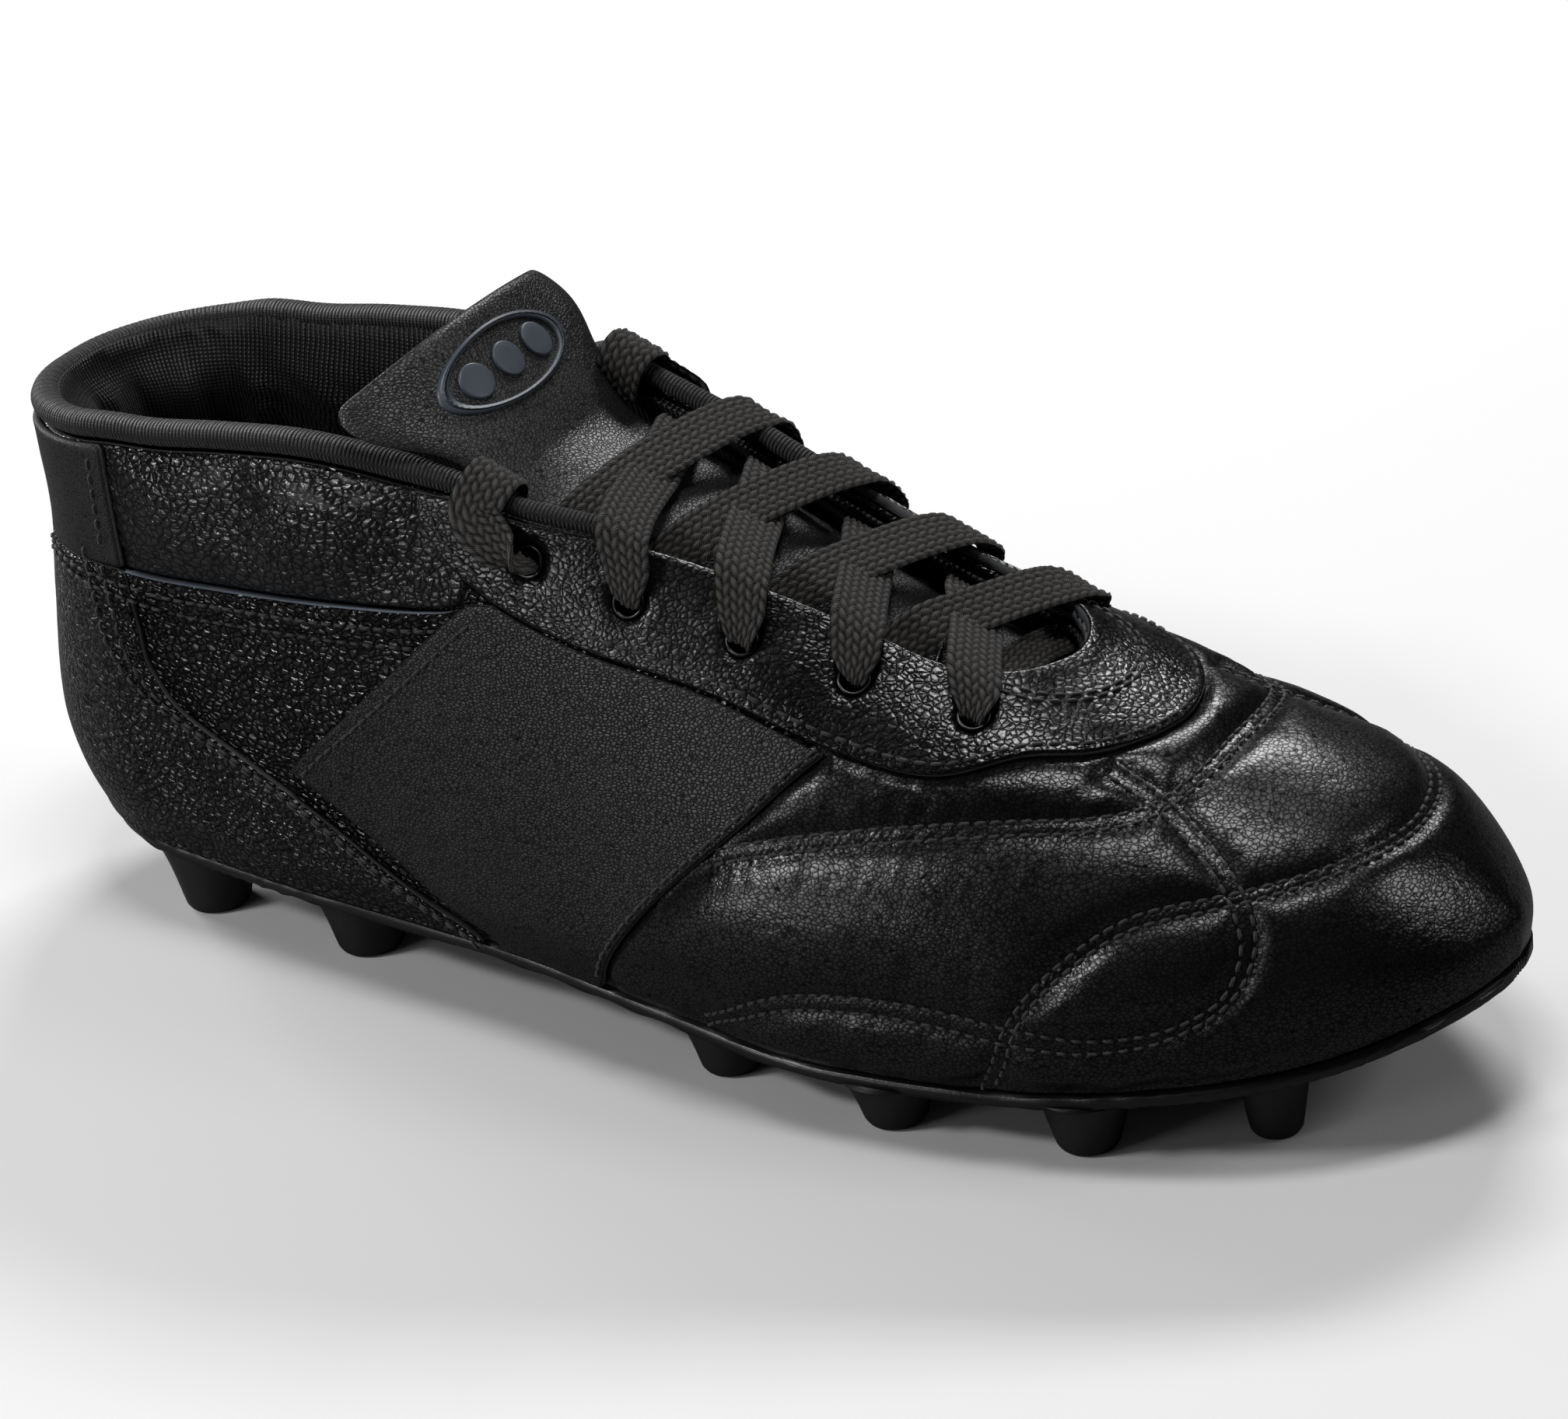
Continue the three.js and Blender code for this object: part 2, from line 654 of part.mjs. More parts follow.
const padded = Object.values(STUDS).reduce((plate, at) => plate.add(studPad(at)), soleSlab(-RIM, PLATE_TOP - PLATE, PLATE_TOP));
const studCut = padded.add(padded.translate([0, 0, -GAP]));

// ---------- collar binding ----------
const thinning = (x) => smooth(x, 98, 116); // 0 round the ankle, 1 down the throat

// The binding's centre beside point i of the opening's edge: a little above the edge and on the inside.
function bindingAt(i) {
  const at = (k) => opening[(i + k + RING) % RING];
  const along = at(1).clone().sub(at(-1)).normalize();
  const out = normalAt(at(0));
  const up = out.clone().cross(along).normalize();
  const radius = BINDING_R * (1 - thinning(at(0).x) * (1 - BINDING_THIN));
  const centre = at(0).clone().addScaledVector(up, radius + 0.6).addScaledVector(out, -1.6 + 1.3 * thinning(at(0).x));
  return { centre, up, out, radius };
}

// It runs round the ankle and a little way down both sides of the throat.
function bindingPath() {
  const fromToe = [...opening.keys()].map((i) => (i + RING / 2) % RING);
  return fromToe.filter((i) => opening[i].x < (opening[i].y > 0 ? 158 : 140)).map((i) => bindingAt(i).centre);
}

function binding() {
  const circle = new THREE.Shape();
  circle.absarc(0, 0, BINDING_R, 0, Math.PI * 2);
  const path = new THREE.CatmullRomCurve3(bindingPath(), false, "centripetal");
  const steps = 56;
  const geometry = new THREE.ExtrudeGeometry(circle, { steps, extrudePath: path, bevelEnabled: false, curveSegments: 5 });
  const rings = path.getSpacedPoints(steps);
  const position = geometry.getAttribute("position");
  for (let i = 0; i < position.count; i++) {
    const p = vec(position.getX(i), position.getY(i), position.getZ(i));
    const middle = rings.reduce((best, q) => (q.distanceTo(p) < best.distanceTo(p) ? q : best));
    p.sub(middle).multiplyScalar(1 - thinning(middle.x) * (1 - BINDING_THIN)).add(middle);
    position.setXYZ(i, p.x, p.y, p.z);
  }
  return solidFrom(geometry);
}

// ---------- tongue ----------
const HINGE = vec(119, 0, 100.3); // outer face of the tongue on the centreline, where the free flap bends
const FLAP_RISE = THREE.MathUtils.degToRad(50.5);
const FLAP_LENGTH = 31.5;
const flapHalf = curve([0, 10, 15, 22, 27, FLAP_LENGTH], [16.5, 17.5, 18.5, 25.5, 28.5, 28]); // by distance up the flap
const TONGUE_DIP = 2.8; // the tongue's middle lies this far below the throat's edges
const TONGUE_SWELL = 1.5; // less near the hinge
const UNDER_VAMP = 7.6; // and this far below the vamp at its front end
const flapBow = curve([0, FLAP_LENGTH], [3.4, 11]); // how far its edges fall below its centre line

// Height of the tongue's outer face on the centreline: level with the throat's edges, then under the vamp.
function tongueCrest(x) {
  const edge = onTop(x, centreY(x) + throatHalf(x)).z;
  const dip = TONGUE_DIP - TONGUE_SWELL * (1 - smooth(x, HINGE.x, 140));
  const under = onTop(x, centreY(x)).z - UNDER_VAMP;
  return THREE.MathUtils.lerp(edge - dip, under, smooth(x, 188, 203));
}

function tongueLower() {
  const stations = [HINGE.x + 1.8, 128, 140, 152, 164, 176, 188, 200, 210, 219, 228];
  const positions = stations.flatMap((x) => {
    const middle = centreY(x);
    const inner = throatHalf(x);
    const outer = inner + 4 + 2.5 * smooth(x, 120, 200);
    const drop = TONGUE_TOP + 1.6 * smooth(x, 205, 222);
    const face = [outer, inner].map((y) => [-1, 1].map((side) => onTop(x, middle + side * y)));
    const rim = face.map((pair) => pair.map((p) => offset(p, drop)));
    const crest = vec(x, middle, tongueCrest(x));
    const bend = (side) => rim[1][side].clone().lerp(crest, 0.5).add(vec(0, 0, (crest.z - rim[1][side].z) * 0.2));
    const row = [rim[0][0], rim[1][0], bend(0), crest, bend(1), rim[1][1], rim[0][1]];
    return row.flatMap((p, i) => {
      const out = vec(0, (p.y - middle) * 0.03, 1).normalize();
      const down = i % 6 ? out : normalAt(face[0][i ? 1 : 0]);
      return [...p.clone().addScaledVector(down, -TONGUE_T).toArray(), ...p.toArray()];
    });
  });
  return solid(positions, strip(stations.length, 7));
}

// A point of the free flap: s up from the hinge, y across it, h out from its outer face.
function flapPoint(s, y, h) {
  const up = vec(-Math.cos(FLAP_RISE), 0, Math.sin(FLAP_RISE));
  const out = vec(Math.sin(FLAP_RISE), 0, Math.cos(FLAP_RISE));
  const bow = flapBow(s) * (y / 28) ** 2;
  return HINGE.clone().add(vec(-0.4, y, 0)).addScaledVector(up, s).addScaledVector(out, h - bow);
}

function tongueFlap() {
  const rows = [FLAP_LENGTH, 30, 26, 22, 18, 14, 10, 5, 0];
  const across = [-1, -0.66, -0.33, 0, 0.33, 0.66, 1];
  const point = (s, c, h) => flapPoint(s, c * flapHalf(s), h).toArray();
  const positions = rows.flatMap((s) => across.flatMap((c) => [...point(s, c, -TONGUE_T * 0.85), ...point(s, c, 0)]));
  return solid(positions, strip(rows.length, across.length));
}

// An oval badge that lies on the flap's outer face.
function badge() {
  const middle = 20.5;
  const rows = [5.6, 4.6, 2.5, 0, -2.5, -4.6, -5.6].map((s) => middle + s);
  const across = [-1, -0.75, -0.5, -0.25, 0, 0.25, 0.5, 0.75, 1];
  const half = (s) => 13.5 * Math.sqrt(1 - ((s - middle) / 6.2) ** 2);
  const point = (s, c, h) => flapPoint(s, c * half(s), h).toArray();
  const positions = rows.flatMap((s) => across.flatMap((c) => [...point(s, c, 0.45), ...point(s, c, 1.3)]));
  return solid(positions, strip(rows.length, across.length));
}

// Triangles of a slab whose points come in rows and columns, each as a low and a high point.
function strip(rows, columns) {
  const triangles = [];
  const at = (r, c, top) => 2 * (r * columns + c) + top;
  const quad = (a, b, c, d) => triangles.push(a, b, c, a, c, d);
  for (let r = 0; r < rows - 1; r++) {
    for (let c = 0; c < columns - 1; c++) {
      quad(at(r, c, 1), at(r + 1, c, 1), at(r + 1, c + 1, 1), at(r, c + 1, 1));
      quad(at(r, c, 0), at(r, c + 1, 0), at(r + 1, c + 1, 0), at(r + 1, c, 0));
    }
    quad(at(r, 0, 0), at(r + 1, 0, 0), at(r + 1, 0, 1), at(r, 0, 1));
    quad(at(r, columns - 1, 1), at(r + 1, columns - 1, 1), at(r + 1, columns - 1, 0), at(r, columns - 1, 0));
  }
  for (let c = 0; c < columns - 1; c++) {
    quad(at(0, c, 0), at(0, c, 1), at(0, c + 1, 1), at(0, c + 1, 0));
    quad(at(rows - 1, c, 1), at(rows - 1, c, 0), at(rows - 1, c + 1, 0), at(rows - 1, c + 1, 1));
  }
  return triangles;
}

// ---------- lace ----------
const OUTSIDE = GAP + OVERLAY + 2 * GAP + 0.5 + LACE_T / 2 + 0.3; // lace centre over the eyestay
const INSIDE = -LEATHER - 2 * GAP - 0.4 - LINING - LACE_T / 2 - 0.8; // and between the lining and the tongue

// A point over the throat: y out from the centreline, h above a line from edge to edge.
function overThroat(x, y, h) {
  const edge = onTop(x, centreY(x) + Math.sign(y || 1) * throatHalf(x));
  return vec(x, centreY(x) + y, edge.z + h);
}

// A stretch of lace is a list of [point, share of the full width, direction of the width].
const FORE = vec(1, 0, -0.42); // along the throat

// Up through a hole, narrowed.
function throughHole(k, side) {
  const hole = holeAt(k, side);
  return [
    [offset(hole, -3.4), 0.3, FORE],
    [offset(hole, 0), 0.3, FORE],
    [offset(hole, OUTSIDE - 0.7), 0.32, FORE],
  ];
}

// One crossing: out of a hole on one side, over the throat, under the far edge and up to the next hole.
function laceCrossing(k, side, over) {
  const [from, to] = [HOLE_X[k], HOLE_X[k + 1]];
  const part = (t) => from + (to - from) * t;
  const at = (t, y) => onTop(part(t), centreY(part(t)) + y);
  return [
    ...throughHole(k, side),
    [offset(at(0.03, side * (HOLE_Y[k] - 2.4)), OUTSIDE + 0.5), 0.62, FORE],
    [offset(at(0.17, side * (throatHalf(from) - 1.5)), 3.8), 0.9, FORE],
    [overThroat(part(0.5), 0, over ? 2.8 : 0.6), 1, FORE],
    [overThroat(part(0.74), -side * (throatHalf(to) - 10), over ? 0 : -0.8), 0.9, FORE],
    [offset(at(0.9, -side * (throatHalf(to) + 0.5)), INSIDE), 0.7, FORE],
    [offset(at(1, -side * (HOLE_Y[k + 1] - 1.2)), INSIDE), 0.4, FORE],
  ];
}

// The end of the lace leaves the top hole and turns over the collar's corner into the boot.
function laceEnd(side) {
  const corner = [...opening.keys()].filter((i) => opening[i].y * side > 0 && opening[i].x < 112);
  const { centre, up, out, radius } = bindingAt(corner.sort((a, b) => opening[b].x - opening[a].x)[0]);
  const reach = radius + LACE_T / 2 + 1.2;
  const around = (o, u) => centre.clone().addScaledVector(out, o * reach).addScaledVector(up, u * reach);
  const climb = vec(0.66, -0.46 * side, 0.6);
  const turn = vec(0.85, -0.45 * side, 0.2);
  return [
    ...throughHole(4, side),
    [offset(onTop(HOLE_X[4] - 2, side * (HOLE_Y[4] - 1.6)), OUTSIDE + 0.4), 0.5, climb],
    [offset(onTop(HOLE_X[4] - 7, side * (HOLE_Y[4] - 1)), OUTSIDE), 0.8, climb],
    [around(1.25, -0.6), 0.9, climb],
    [around(0.9, 0.6), 0.9, turn],
    [around(0.1, 1.1), 0.9, turn],
    [around(-0.7, 1.1), 0.6, turn],
  ];
}

function lacePath() {
  const strand = (side) => {
    const points = [];
    for (let k = 0; k < 4; k++) {
      const start = k % 2 ? -side : side;
      points.push(...laceCrossing(k, start, start > 0));
    }
    return [...points, ...laceEnd(side)];
  };
  const bar = [1, 0, -1].map((y) => [offset(onTop(HOLE_X[0], centreY(HOLE_X[0]) + 14 * y), INSIDE - 0.45), 0.75, FORE]);
  return [...strand(1).reverse(), ...bar, ...strand(-1)];
}

// A flat ribbon along the path.
function lace() {
  const path = lacePath();
  const centre = new THREE.CatmullRomCurve3(path.map(([p]) => p), false, "centripetal");
  const steps = (path.length - 1) * 2;
  const positions = [];
  for (let i = 0; i <= steps; i++) {
    const t = i / steps;
    const p = centre.getPoint(t);
    const along = centre.getTangent(t);
    const at = t * (path.length - 1);
    const j = Math.min(Math.floor(at), path.length - 2);
    const width = THREE.MathUtils.lerp(path[j][1], path[j + 1][1], at - j) * LACE_W;
    const across = path[j][2].clone().lerp(path[j + 1][2], at - j);
    across.addScaledVector(along, -across.dot(along)).normalize();
    const n = along.clone().cross(across).normalize();
    const corner = (a, b) => p.clone().addScaledVector(across, a * width * 0.5).addScaledVector(n, b * LACE_T * 0.5);
    for (const q of [corner(-1, -1), corner(1, -1), corner(1, 1), corner(-1, 1)]) positions.push(...q.toArray());
  }
  const triangles = [];
  const quad = (a, b, c, d) => triangles.push(a, b, c, a, c, d);
  for (let i = 0; i < steps; i++) {
    for (let c = 0; c < 4; c++) quad(4 * i + c, 4 * i + ((c + 1) % 4), 4 * i + 4 + ((c + 1) % 4), 4 * i + 4 + c);
  }
  quad(3, 2, 1, 0);
  quad(4 * steps, 4 * steps + 1, 4 * steps + 2, 4 * steps + 3);
  return solid(positions, triangles);
}

// ---------- materials ----------
const finish = (color, roughness, metalness = 0) => new THREE.MeshStandardMaterial({ color, roughness, metalness });
const GRAIN = finish(0x0d0d0e, 0.42);
const SMOOTH = finish(0x101011, 0.5);
const KNIT = finish(0x121214, 0.85);
const TONGUE_FACE = finish(0x2c2c2f, 0.6);
const WOVEN = finish(0x141311, 0.9);
const PRINT = finish(0x39434c, 0.45);
const MOULDED = finish(0x0e0e0e, 0.35);
const STUD = finish(0x151516, 0.55);
const METAL = finish(0x3a3a3c, 0.3, 0.9);
const FOAM = finish(0x2a2a2a, 0.95);
const BOARD_FIBRE = finish(0x8a8070, 0.9);
const STIFF = finish(0xb8b0a0, 0.8);

// ---------- assembly ----------
const boot = new THREE.Group();

function add(name, shape, material) {
  const geometry = shape.isBufferGeometry ? shape : geometryOf(shape);
  const mesh = new THREE.Mesh(geometry, material);
  mesh.name = name;
  boot.add(mesh);
}

add("vamp", punched(panel(leather, vampOutline())), GRAIN);
for (const [side, name] of [[-1, "outer"], [1, "inner"]]) {
  add(`quarter_${name}`, punched(panel(leather, quarterOutline(side))), GRAIN);
  add(`collar_panel_${name}`, panel(leather, collarPanelOutline(side)), GRAIN);
  add(`saddle_${name}`, panel(overlay, saddleOutline(side)), SMOOTH);
  add(`collar_foam_${name}`, panel(filling, foamOutline(side)), FOAM);
}
add("eyestay", punched(panel(overlay, eyestayOutline())), GRAIN);
add("counter_cover", panel(overlay, counterOutline()), GRAIN);
add("heel_tab", panel(overlay, heelTabOutline()), SMOOTH);
add("heel_stiffener", panel(filling, stiffenerOutline()), STIFF);
add("toe_puff", panel(filling, puffOutline()), STIFF);
add("lining", punched(lining), KNIT);
add("collar_binding", binding(), KNIT);

add("tongue_lower", tongueLower(), TONGUE_FACE);
add("tongue_flap", tongueFlap(), TONGUE_FACE);
add("tongue_badge", badge(), PRINT);

add("outsole_plate", padded, MOULDED);
for (const [name, at] of Object.entries(STUDS)) add(name, whole(studBlank(at).subtract(studCut)), STUD);
add("lasting_board", soleSlab(5.5, 0, BOARD), BOARD_FIBRE);
add("insole", soleSlab(7, BOARD + GAP, BOARD + GAP + FOOTBED), KNIT);

for (const [side, name] of [[-1, "outer"], [1, "inner"]]) {
  HOLE_X.forEach((_, k) => add(`eyelet_${name}_${k + 1}`, eyelet(k, side), METAL));
}
add("lace", lace(), WOVEN);

const middle = new THREE.Box3().setFromObject(boot).getCenter(vec(0, 0, 0));
boot.position.set(-middle.x, -middle.y, 0);

export default boot;
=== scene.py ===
"""The looks of a right-foot football boot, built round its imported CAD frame.

Shapes are worked out in millimetres and turned into metres when a mesh is made. +X runs from heel to toe, +Y
to the inner side, +Z up. Everything on the upper is placed on the last, the foot-shaped form that the boot is
built over. Most of its outlines are drawn in pattern space, the last's surface opened out flat.
"""
import math

import bmesh
import bpy
import numpy as np
from mathutils import Matrix, Vector, geometry


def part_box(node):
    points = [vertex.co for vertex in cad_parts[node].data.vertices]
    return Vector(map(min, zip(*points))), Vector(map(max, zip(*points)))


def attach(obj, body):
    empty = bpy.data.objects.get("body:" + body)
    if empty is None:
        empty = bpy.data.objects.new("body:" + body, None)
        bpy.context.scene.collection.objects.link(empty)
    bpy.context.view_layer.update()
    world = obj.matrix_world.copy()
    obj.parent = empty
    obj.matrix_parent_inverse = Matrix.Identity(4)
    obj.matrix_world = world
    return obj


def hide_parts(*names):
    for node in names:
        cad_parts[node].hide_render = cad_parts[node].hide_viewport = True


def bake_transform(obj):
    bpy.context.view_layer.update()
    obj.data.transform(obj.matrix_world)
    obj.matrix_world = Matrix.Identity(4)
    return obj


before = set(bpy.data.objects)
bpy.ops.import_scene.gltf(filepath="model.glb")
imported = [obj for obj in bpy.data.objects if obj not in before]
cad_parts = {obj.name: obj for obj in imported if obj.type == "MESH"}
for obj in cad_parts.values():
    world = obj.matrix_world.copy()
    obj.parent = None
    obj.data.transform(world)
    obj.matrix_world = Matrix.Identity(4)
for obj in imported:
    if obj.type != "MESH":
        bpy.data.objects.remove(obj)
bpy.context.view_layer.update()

MM = 0.001
SIDES = {-1: "outer", 1: "inner"}

# ---------- driving sizes ----------
LENGTH = 292.0  # upper, heel to toe
LEATHER = 1.4
OVERLAY = 1.2
LINING = 1.2
GAP = 0.3
PLATE = 3.2
BINDING_R = 2.6
BINDING_THIN = 0.7
HOLE_R = 3.0
LACE_W = 9.8
LACE_T = 1.3
TONGUE_T = 3.4
TONGUE_TOP = -7.4
BACK_X = 35  # front edge of the heel tab
STUD_TIP_R = 5.7
STUD_ROOT_R = 9.0
TOE_STUD, HEEL_STUD = 0.82, 1.12  # the studs under the toe are slimmer and those under the heel wider
PAD_R = 10.6
PAD_T = 1.3
STITCH_PITCH = 2.9
STITCH_LENGTH = 2.4
STITCH_R = 0.33

# Stud centres: (x, y). Two pairs under the heel and four pairs under the forefoot.
STUDS = {
    "stud_heel_outer_rear": (33, -17.5),
    "stud_heel_inner_rear": (33, 18.5),
    "stud_heel_outer_front": (71, -20.5),
    "stud_heel_inner_front": (71, 21),
    "stud_outer_1": (158, -32.5),
    "stud_outer_2": (194, -37),
    "stud_outer_3": (229, -32),
    "stud_outer_4": (257, -16.5),
    "stud_inner_1": (164, 28),
    "stud_inner_2": (199, 34),
    "stud_inner_3": (234, 35),
    "stud_inner_4": (262, 24),
}


def heel_origin():
    """Where the rearmost point of the heel lies in the frame: shapes here are drawn from it."""
    name = "stud_heel_outer_rear"
    low, high = (np.array(corner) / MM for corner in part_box(name))
    middle = (low + high) / 2
    return np.array([middle[0] - STUDS[name][0], middle[1] - STUDS[name][1], 0])


HEEL = heel_origin()
SEAM_Z = 77  # seam between collar panel and quarter


def curve(xs, ys):
    """A monotone cubic through the given points, flat outside them."""
    xs, ys = np.array(xs, float), np.array(ys, float)
    h = np.diff(xs)
    slope = np.diff(ys) / h
    m = np.concatenate([slope[:1], np.zeros(len(xs) - 2), slope[-1:]])
    for i in range(1, len(xs) - 1):
        a, b = slope[i - 1], slope[i]
        if a * b > 0:
            w0, w1 = 2 * h[i] + h[i - 1], h[i] + 2 * h[i - 1]
            m[i] = (w0 + w1) / (w0 / a + w1 / b)
    at = np.linspace(xs[0], xs[-1], 1500)
    i = np.clip(np.searchsorted(xs, at, side="right") - 1, 0, len(h) - 1)
    t = (at - xs[i]) / h[i]
    table = (
        (2 * t**3 - 3 * t**2 + 1) * ys[i]
        + (t**3 - 2 * t**2 + t) * h[i] * m[i]
        + (3 * t**2 - 2 * t**3) * ys[i + 1]
        + (t**3 - t**2) * h[i] * m[i + 1]
    )
    return lambda x: np.interp(x, at, table)


# ---------- the last ----------
STATION = [0, 30, 70, 110, 150, 185, 215, 245, 270, 292]
outer_half = curve(STATION, [31, 32, 35, 39, 45, 50, 49, 45, 41.5, 37])
inner_half = curve(STATION, [31, 32, 33.5, 36, 40, 44.5, 47, 46.5, 42, 36])
feather_z = curve(STATION, [21.5, 19, 17, 17, 15, 13, 13.5, 16.5, 21, 28])
ridge_z = curve(STATION, [190, 190, 177, 135, 106, 86, 74, 62.5, 55, 36])
outer_round = curve(STATION, [2, 2, 1.9, 1.8, 1.8, 1.9, 2.1, 2.3, 2.3, 2.2])
inner_round = curve(STATION, [2, 2.1, 2.2, 2.2, 2.1, 2.1, 2.2, 2.3, 2.3, 2.2])
centre_y = curve(STATION, [0, 0.8, 0.5, 0.2, 0.2, 1.3, 2.7, 4.4, 5.7, 7])
heel_back = curve([15, 40, 65, 82, 100, 125], [9, -1, 2.5, 5.5, 3.5, 3.5])
HEEL_R, TOE_R, TOE_POWER = 34, 62, 2.2
LEAN = 70  # the heel's profile is felt this far along the boot
TUCK, TUCK_Z = 0.07, 6
collar_edge = curve([0, 40, 80, 104], [97.5, 101, 104, 101])
throat_half = curve([112, 120, 132, 148, 165, 195], [25.3, 25, 23.6, 20.8, 18.3, 15.5])
THROAT_END = 215
CORE = np.array([150.0, 0, 30])
STRETCH = 3
REACH = 220


def unit(v):
    """Vectors made one long."""
    return v / np.maximum(np.linalg.norm(v, axis=-1, keepdims=True), 1e-12)


def smooth(x, low, high):
    """An even step from 0 to 1 between two values."""
    t = np.clip((np.asarray(x, float) - low) / (high - low), 0, 1)
    return t * t * (3 - 2 * t)


def closure(x):
    heel = np.sqrt(np.clip(1 - np.maximum(1 - x / HEEL_R, 0) ** 2, 1e-9, 1))
    u = np.maximum((x - (LENGTH - TOE_R)) / TOE_R, 0)
    return heel * np.clip(1 - u**TOE_POWER, 1e-9, 1) ** (1 / TOE_POWER)


def lean(x, z):
    """How far the heel's profile moves the surface forward."""
    return heel_back(z) * (1 - np.clip(x / LEAN, 0, 1)) ** 2


def last_field(p):
    """Negative inside the last, zero on its surface, positive outside."""
    x = p[..., 0] - lean(p[..., 0], p[..., 2])
    side = p[..., 1] - centre_y(x)
    up = np.maximum(p[..., 2] - feather_z(x), 0)
    outer = side < 0
    tuck = 1 - TUCK * np.exp(-((up / TUCK_Z) ** 2))
    half = np.where(outer, outer_half(x), inner_half(x)) * closure(x) * tuck
    power = np.where(outer, outer_round(x), inner_round(x))
    field = (np.abs(side) / half) ** power + (up / (ridge_z(x) - feather_z(x))) ** power - 1
    return np.where((x < 0) | (x > LENGTH), 1.0, field)


def crossing(inside, outside):
    """The last points inside the last on the way from the first points to the second."""
    inside, outside = np.broadcast_arrays(np.asarray(inside, float), np.asarray(outside, float))
    near = np.zeros(inside.shape[:-1])
    far = np.ones(inside.shape[:-1])
    for _ in range(28):
        mid = (near + far) / 2
        within = last_field(inside + (outside - inside) * mid[..., None]) < 0
        near = np.where(within, mid, near)
        far = np.where(within, far, mid)
    return inside + (outside - inside) * near[..., None]


def on_side(x, z, side):
    x, z = np.broadcast_arrays(np.asarray(x, float), np.asarray(z, float))
    middle = centre_y(x)
    return crossing(np.stack([x, middle, z], -1), np.stack([x, middle + side * REACH, z], -1))


def on_top(x, y):
    x, y = np.broadcast_arrays(np.asarray(x, float), np.asarray(y, float))
    return crossing(np.stack([x, y, feather_z(x)], -1), np.stack([x, y, np.full_like(x, REACH)], -1))


def on_back(z, y):
    z, y = np.broadcast_arrays(np.asarray(z, float), np.asarray(y, float))
    start = np.full_like(z, 60.0)
    return crossing(np.stack([start, y, z], -1), np.stack([start - REACH, y, z], -1))


# The last's surface opened out flat: angles from straight up at the core, stretched along the boot.
def to_pattern(p):
    d = (np.asarray(p, float) - CORE) / [STRETCH, 1, 1]
    polar = np.degrees(np.arccos(d[..., 2] / np.linalg.norm(d, axis=-1)))
    turn = np.arctan2(d[..., 1], d[..., 0])
    return np.stack([STRETCH * polar * np.cos(turn), polar * np.sin(turn)], -1)


def ray_of(u, v):
    turn = np.arctan2(v, u / STRETCH)
    polar = np.radians(np.hypot(u / STRETCH, v))
    d = [STRETCH * np.sin(polar) * np.cos(turn), np.sin(polar) * np.sin(turn), np.cos(polar)]
    return unit(np.stack(d, -1))


# The surface and its normals, worked out once on a fine grid of pattern space.
GRID_U = np.arange(-345, 346.0)
GRID_V = np.arange(-124, 125.0)
grid_rays = ray_of(*np.meshgrid(GRID_U, GRID_V, indexing="ij"))
GRID_P = crossing(CORE + 0 * grid_rays, CORE + grid_rays * REACH)
GRID_N = unit(np.cross(np.gradient(GRID_P, axis=0), np.gradient(GRID_P, axis=1)))


def sample(grid, uv):
    u = np.clip(uv[..., 0] - GRID_U[0], 0, len(GRID_U) - 1.001)
    v = np.clip(uv[..., 1] - GRID_V[0], 0, len(GRID_V) - 1.001)
    i, j = u.astype(int), v.astype(int)
    a, b = (u - i)[..., None], (v - j)[..., None]
    low = grid[i, j] * (1 - a) + grid[i + 1, j] * a
    high = grid[i, j + 1] * (1 - a) + grid[i + 1, j + 1] * a
    return low * (1 - b) + high * b


def base(uv):
    return sample(GRID_P, uv)


def normal(uv):
    return unit(sample(GRID_N, uv))


def place(uv, height):
    """Points at a height above the last."""
    return base(uv) + normal(uv) * np.asarray(height, float)[..., None]


# ---------- lines and outlines ----------
def run_of(line):
    """The distance along a line at each of its points."""
    return np.concatenate([[0], np.cumsum(np.linalg.norm(np.diff(line, axis=0), axis=1))])


def interpolated(want, at, values):
    """Rows of values, known at some distances, read at the wanted ones."""
    return np.stack([np.interp(want, at, column) for column in values.T], -1)


def resample(line, step, closed=False):
    """Evenly spaced points along a line."""
    if closed:
        line = np.vstack([line, line[:1]])
    at = run_of(line)
    count = max(int(round(at[-1] / step)), 2)
    out = interpolated(np.linspace(0, at[-1], count + 1), at, line)
    return out[:-1] if closed else out


def through(points, step=1.0, closed=False):
    """Evenly spaced points along a smooth curve through the given ones."""
    p = np.asarray(points, float)
    p = np.vstack([p[-1:], p, p[:2]]) if closed else np.vstack([2 * p[0] - p[1], p, 2 * p[-1] - p[-2]])
    fine = []
    for a, b, c, d in zip(p, p[1:], p[2:], p[3:]):
        k = np.cumsum([0] + [max(np.linalg.norm(r - q), 1e-6) ** 0.5 for q, r in ((a, b), (b, c), (c, d))])
        t = np.linspace(k[1], k[2], 24, endpoint=False)[:, None]
        mix = lambda q, r, i, j: ((k[j] - t) * q + (t - k[i]) * r) / (k[j] - k[i])
        ends = mix(mix(a, b, 0, 1), mix(b, c, 1, 2), 0, 2), mix(mix(b, c, 1, 2), mix(c, d, 2, 3), 1, 3)
        fine.append(mix(*ends, 1, 2))
    line = np.vstack(fine + ([] if closed else [p[-2:-1]]))
    return resample(line, step, closed)


def sides(pairs, side):
    """Pattern points of [x, z] pairs on one wall."""
    a = np.array(pairs, float)
    return to_pattern(on_side(a[:, 0], a[:, 1], side))


def tops(pairs):
    a = np.array(pairs, float)
    return to_pattern(on_top(a[:, 0], a[:, 1]))


def raised(pairs, dz):
    return [[x, z + dz] for x, z in pairs]


def stepped(line, along, gap):
    """Points moved a gap to the left of the way they run."""
    along = unit(along)
    return line + np.stack([-along[:, 1], along[:, 0]], -1) * gap


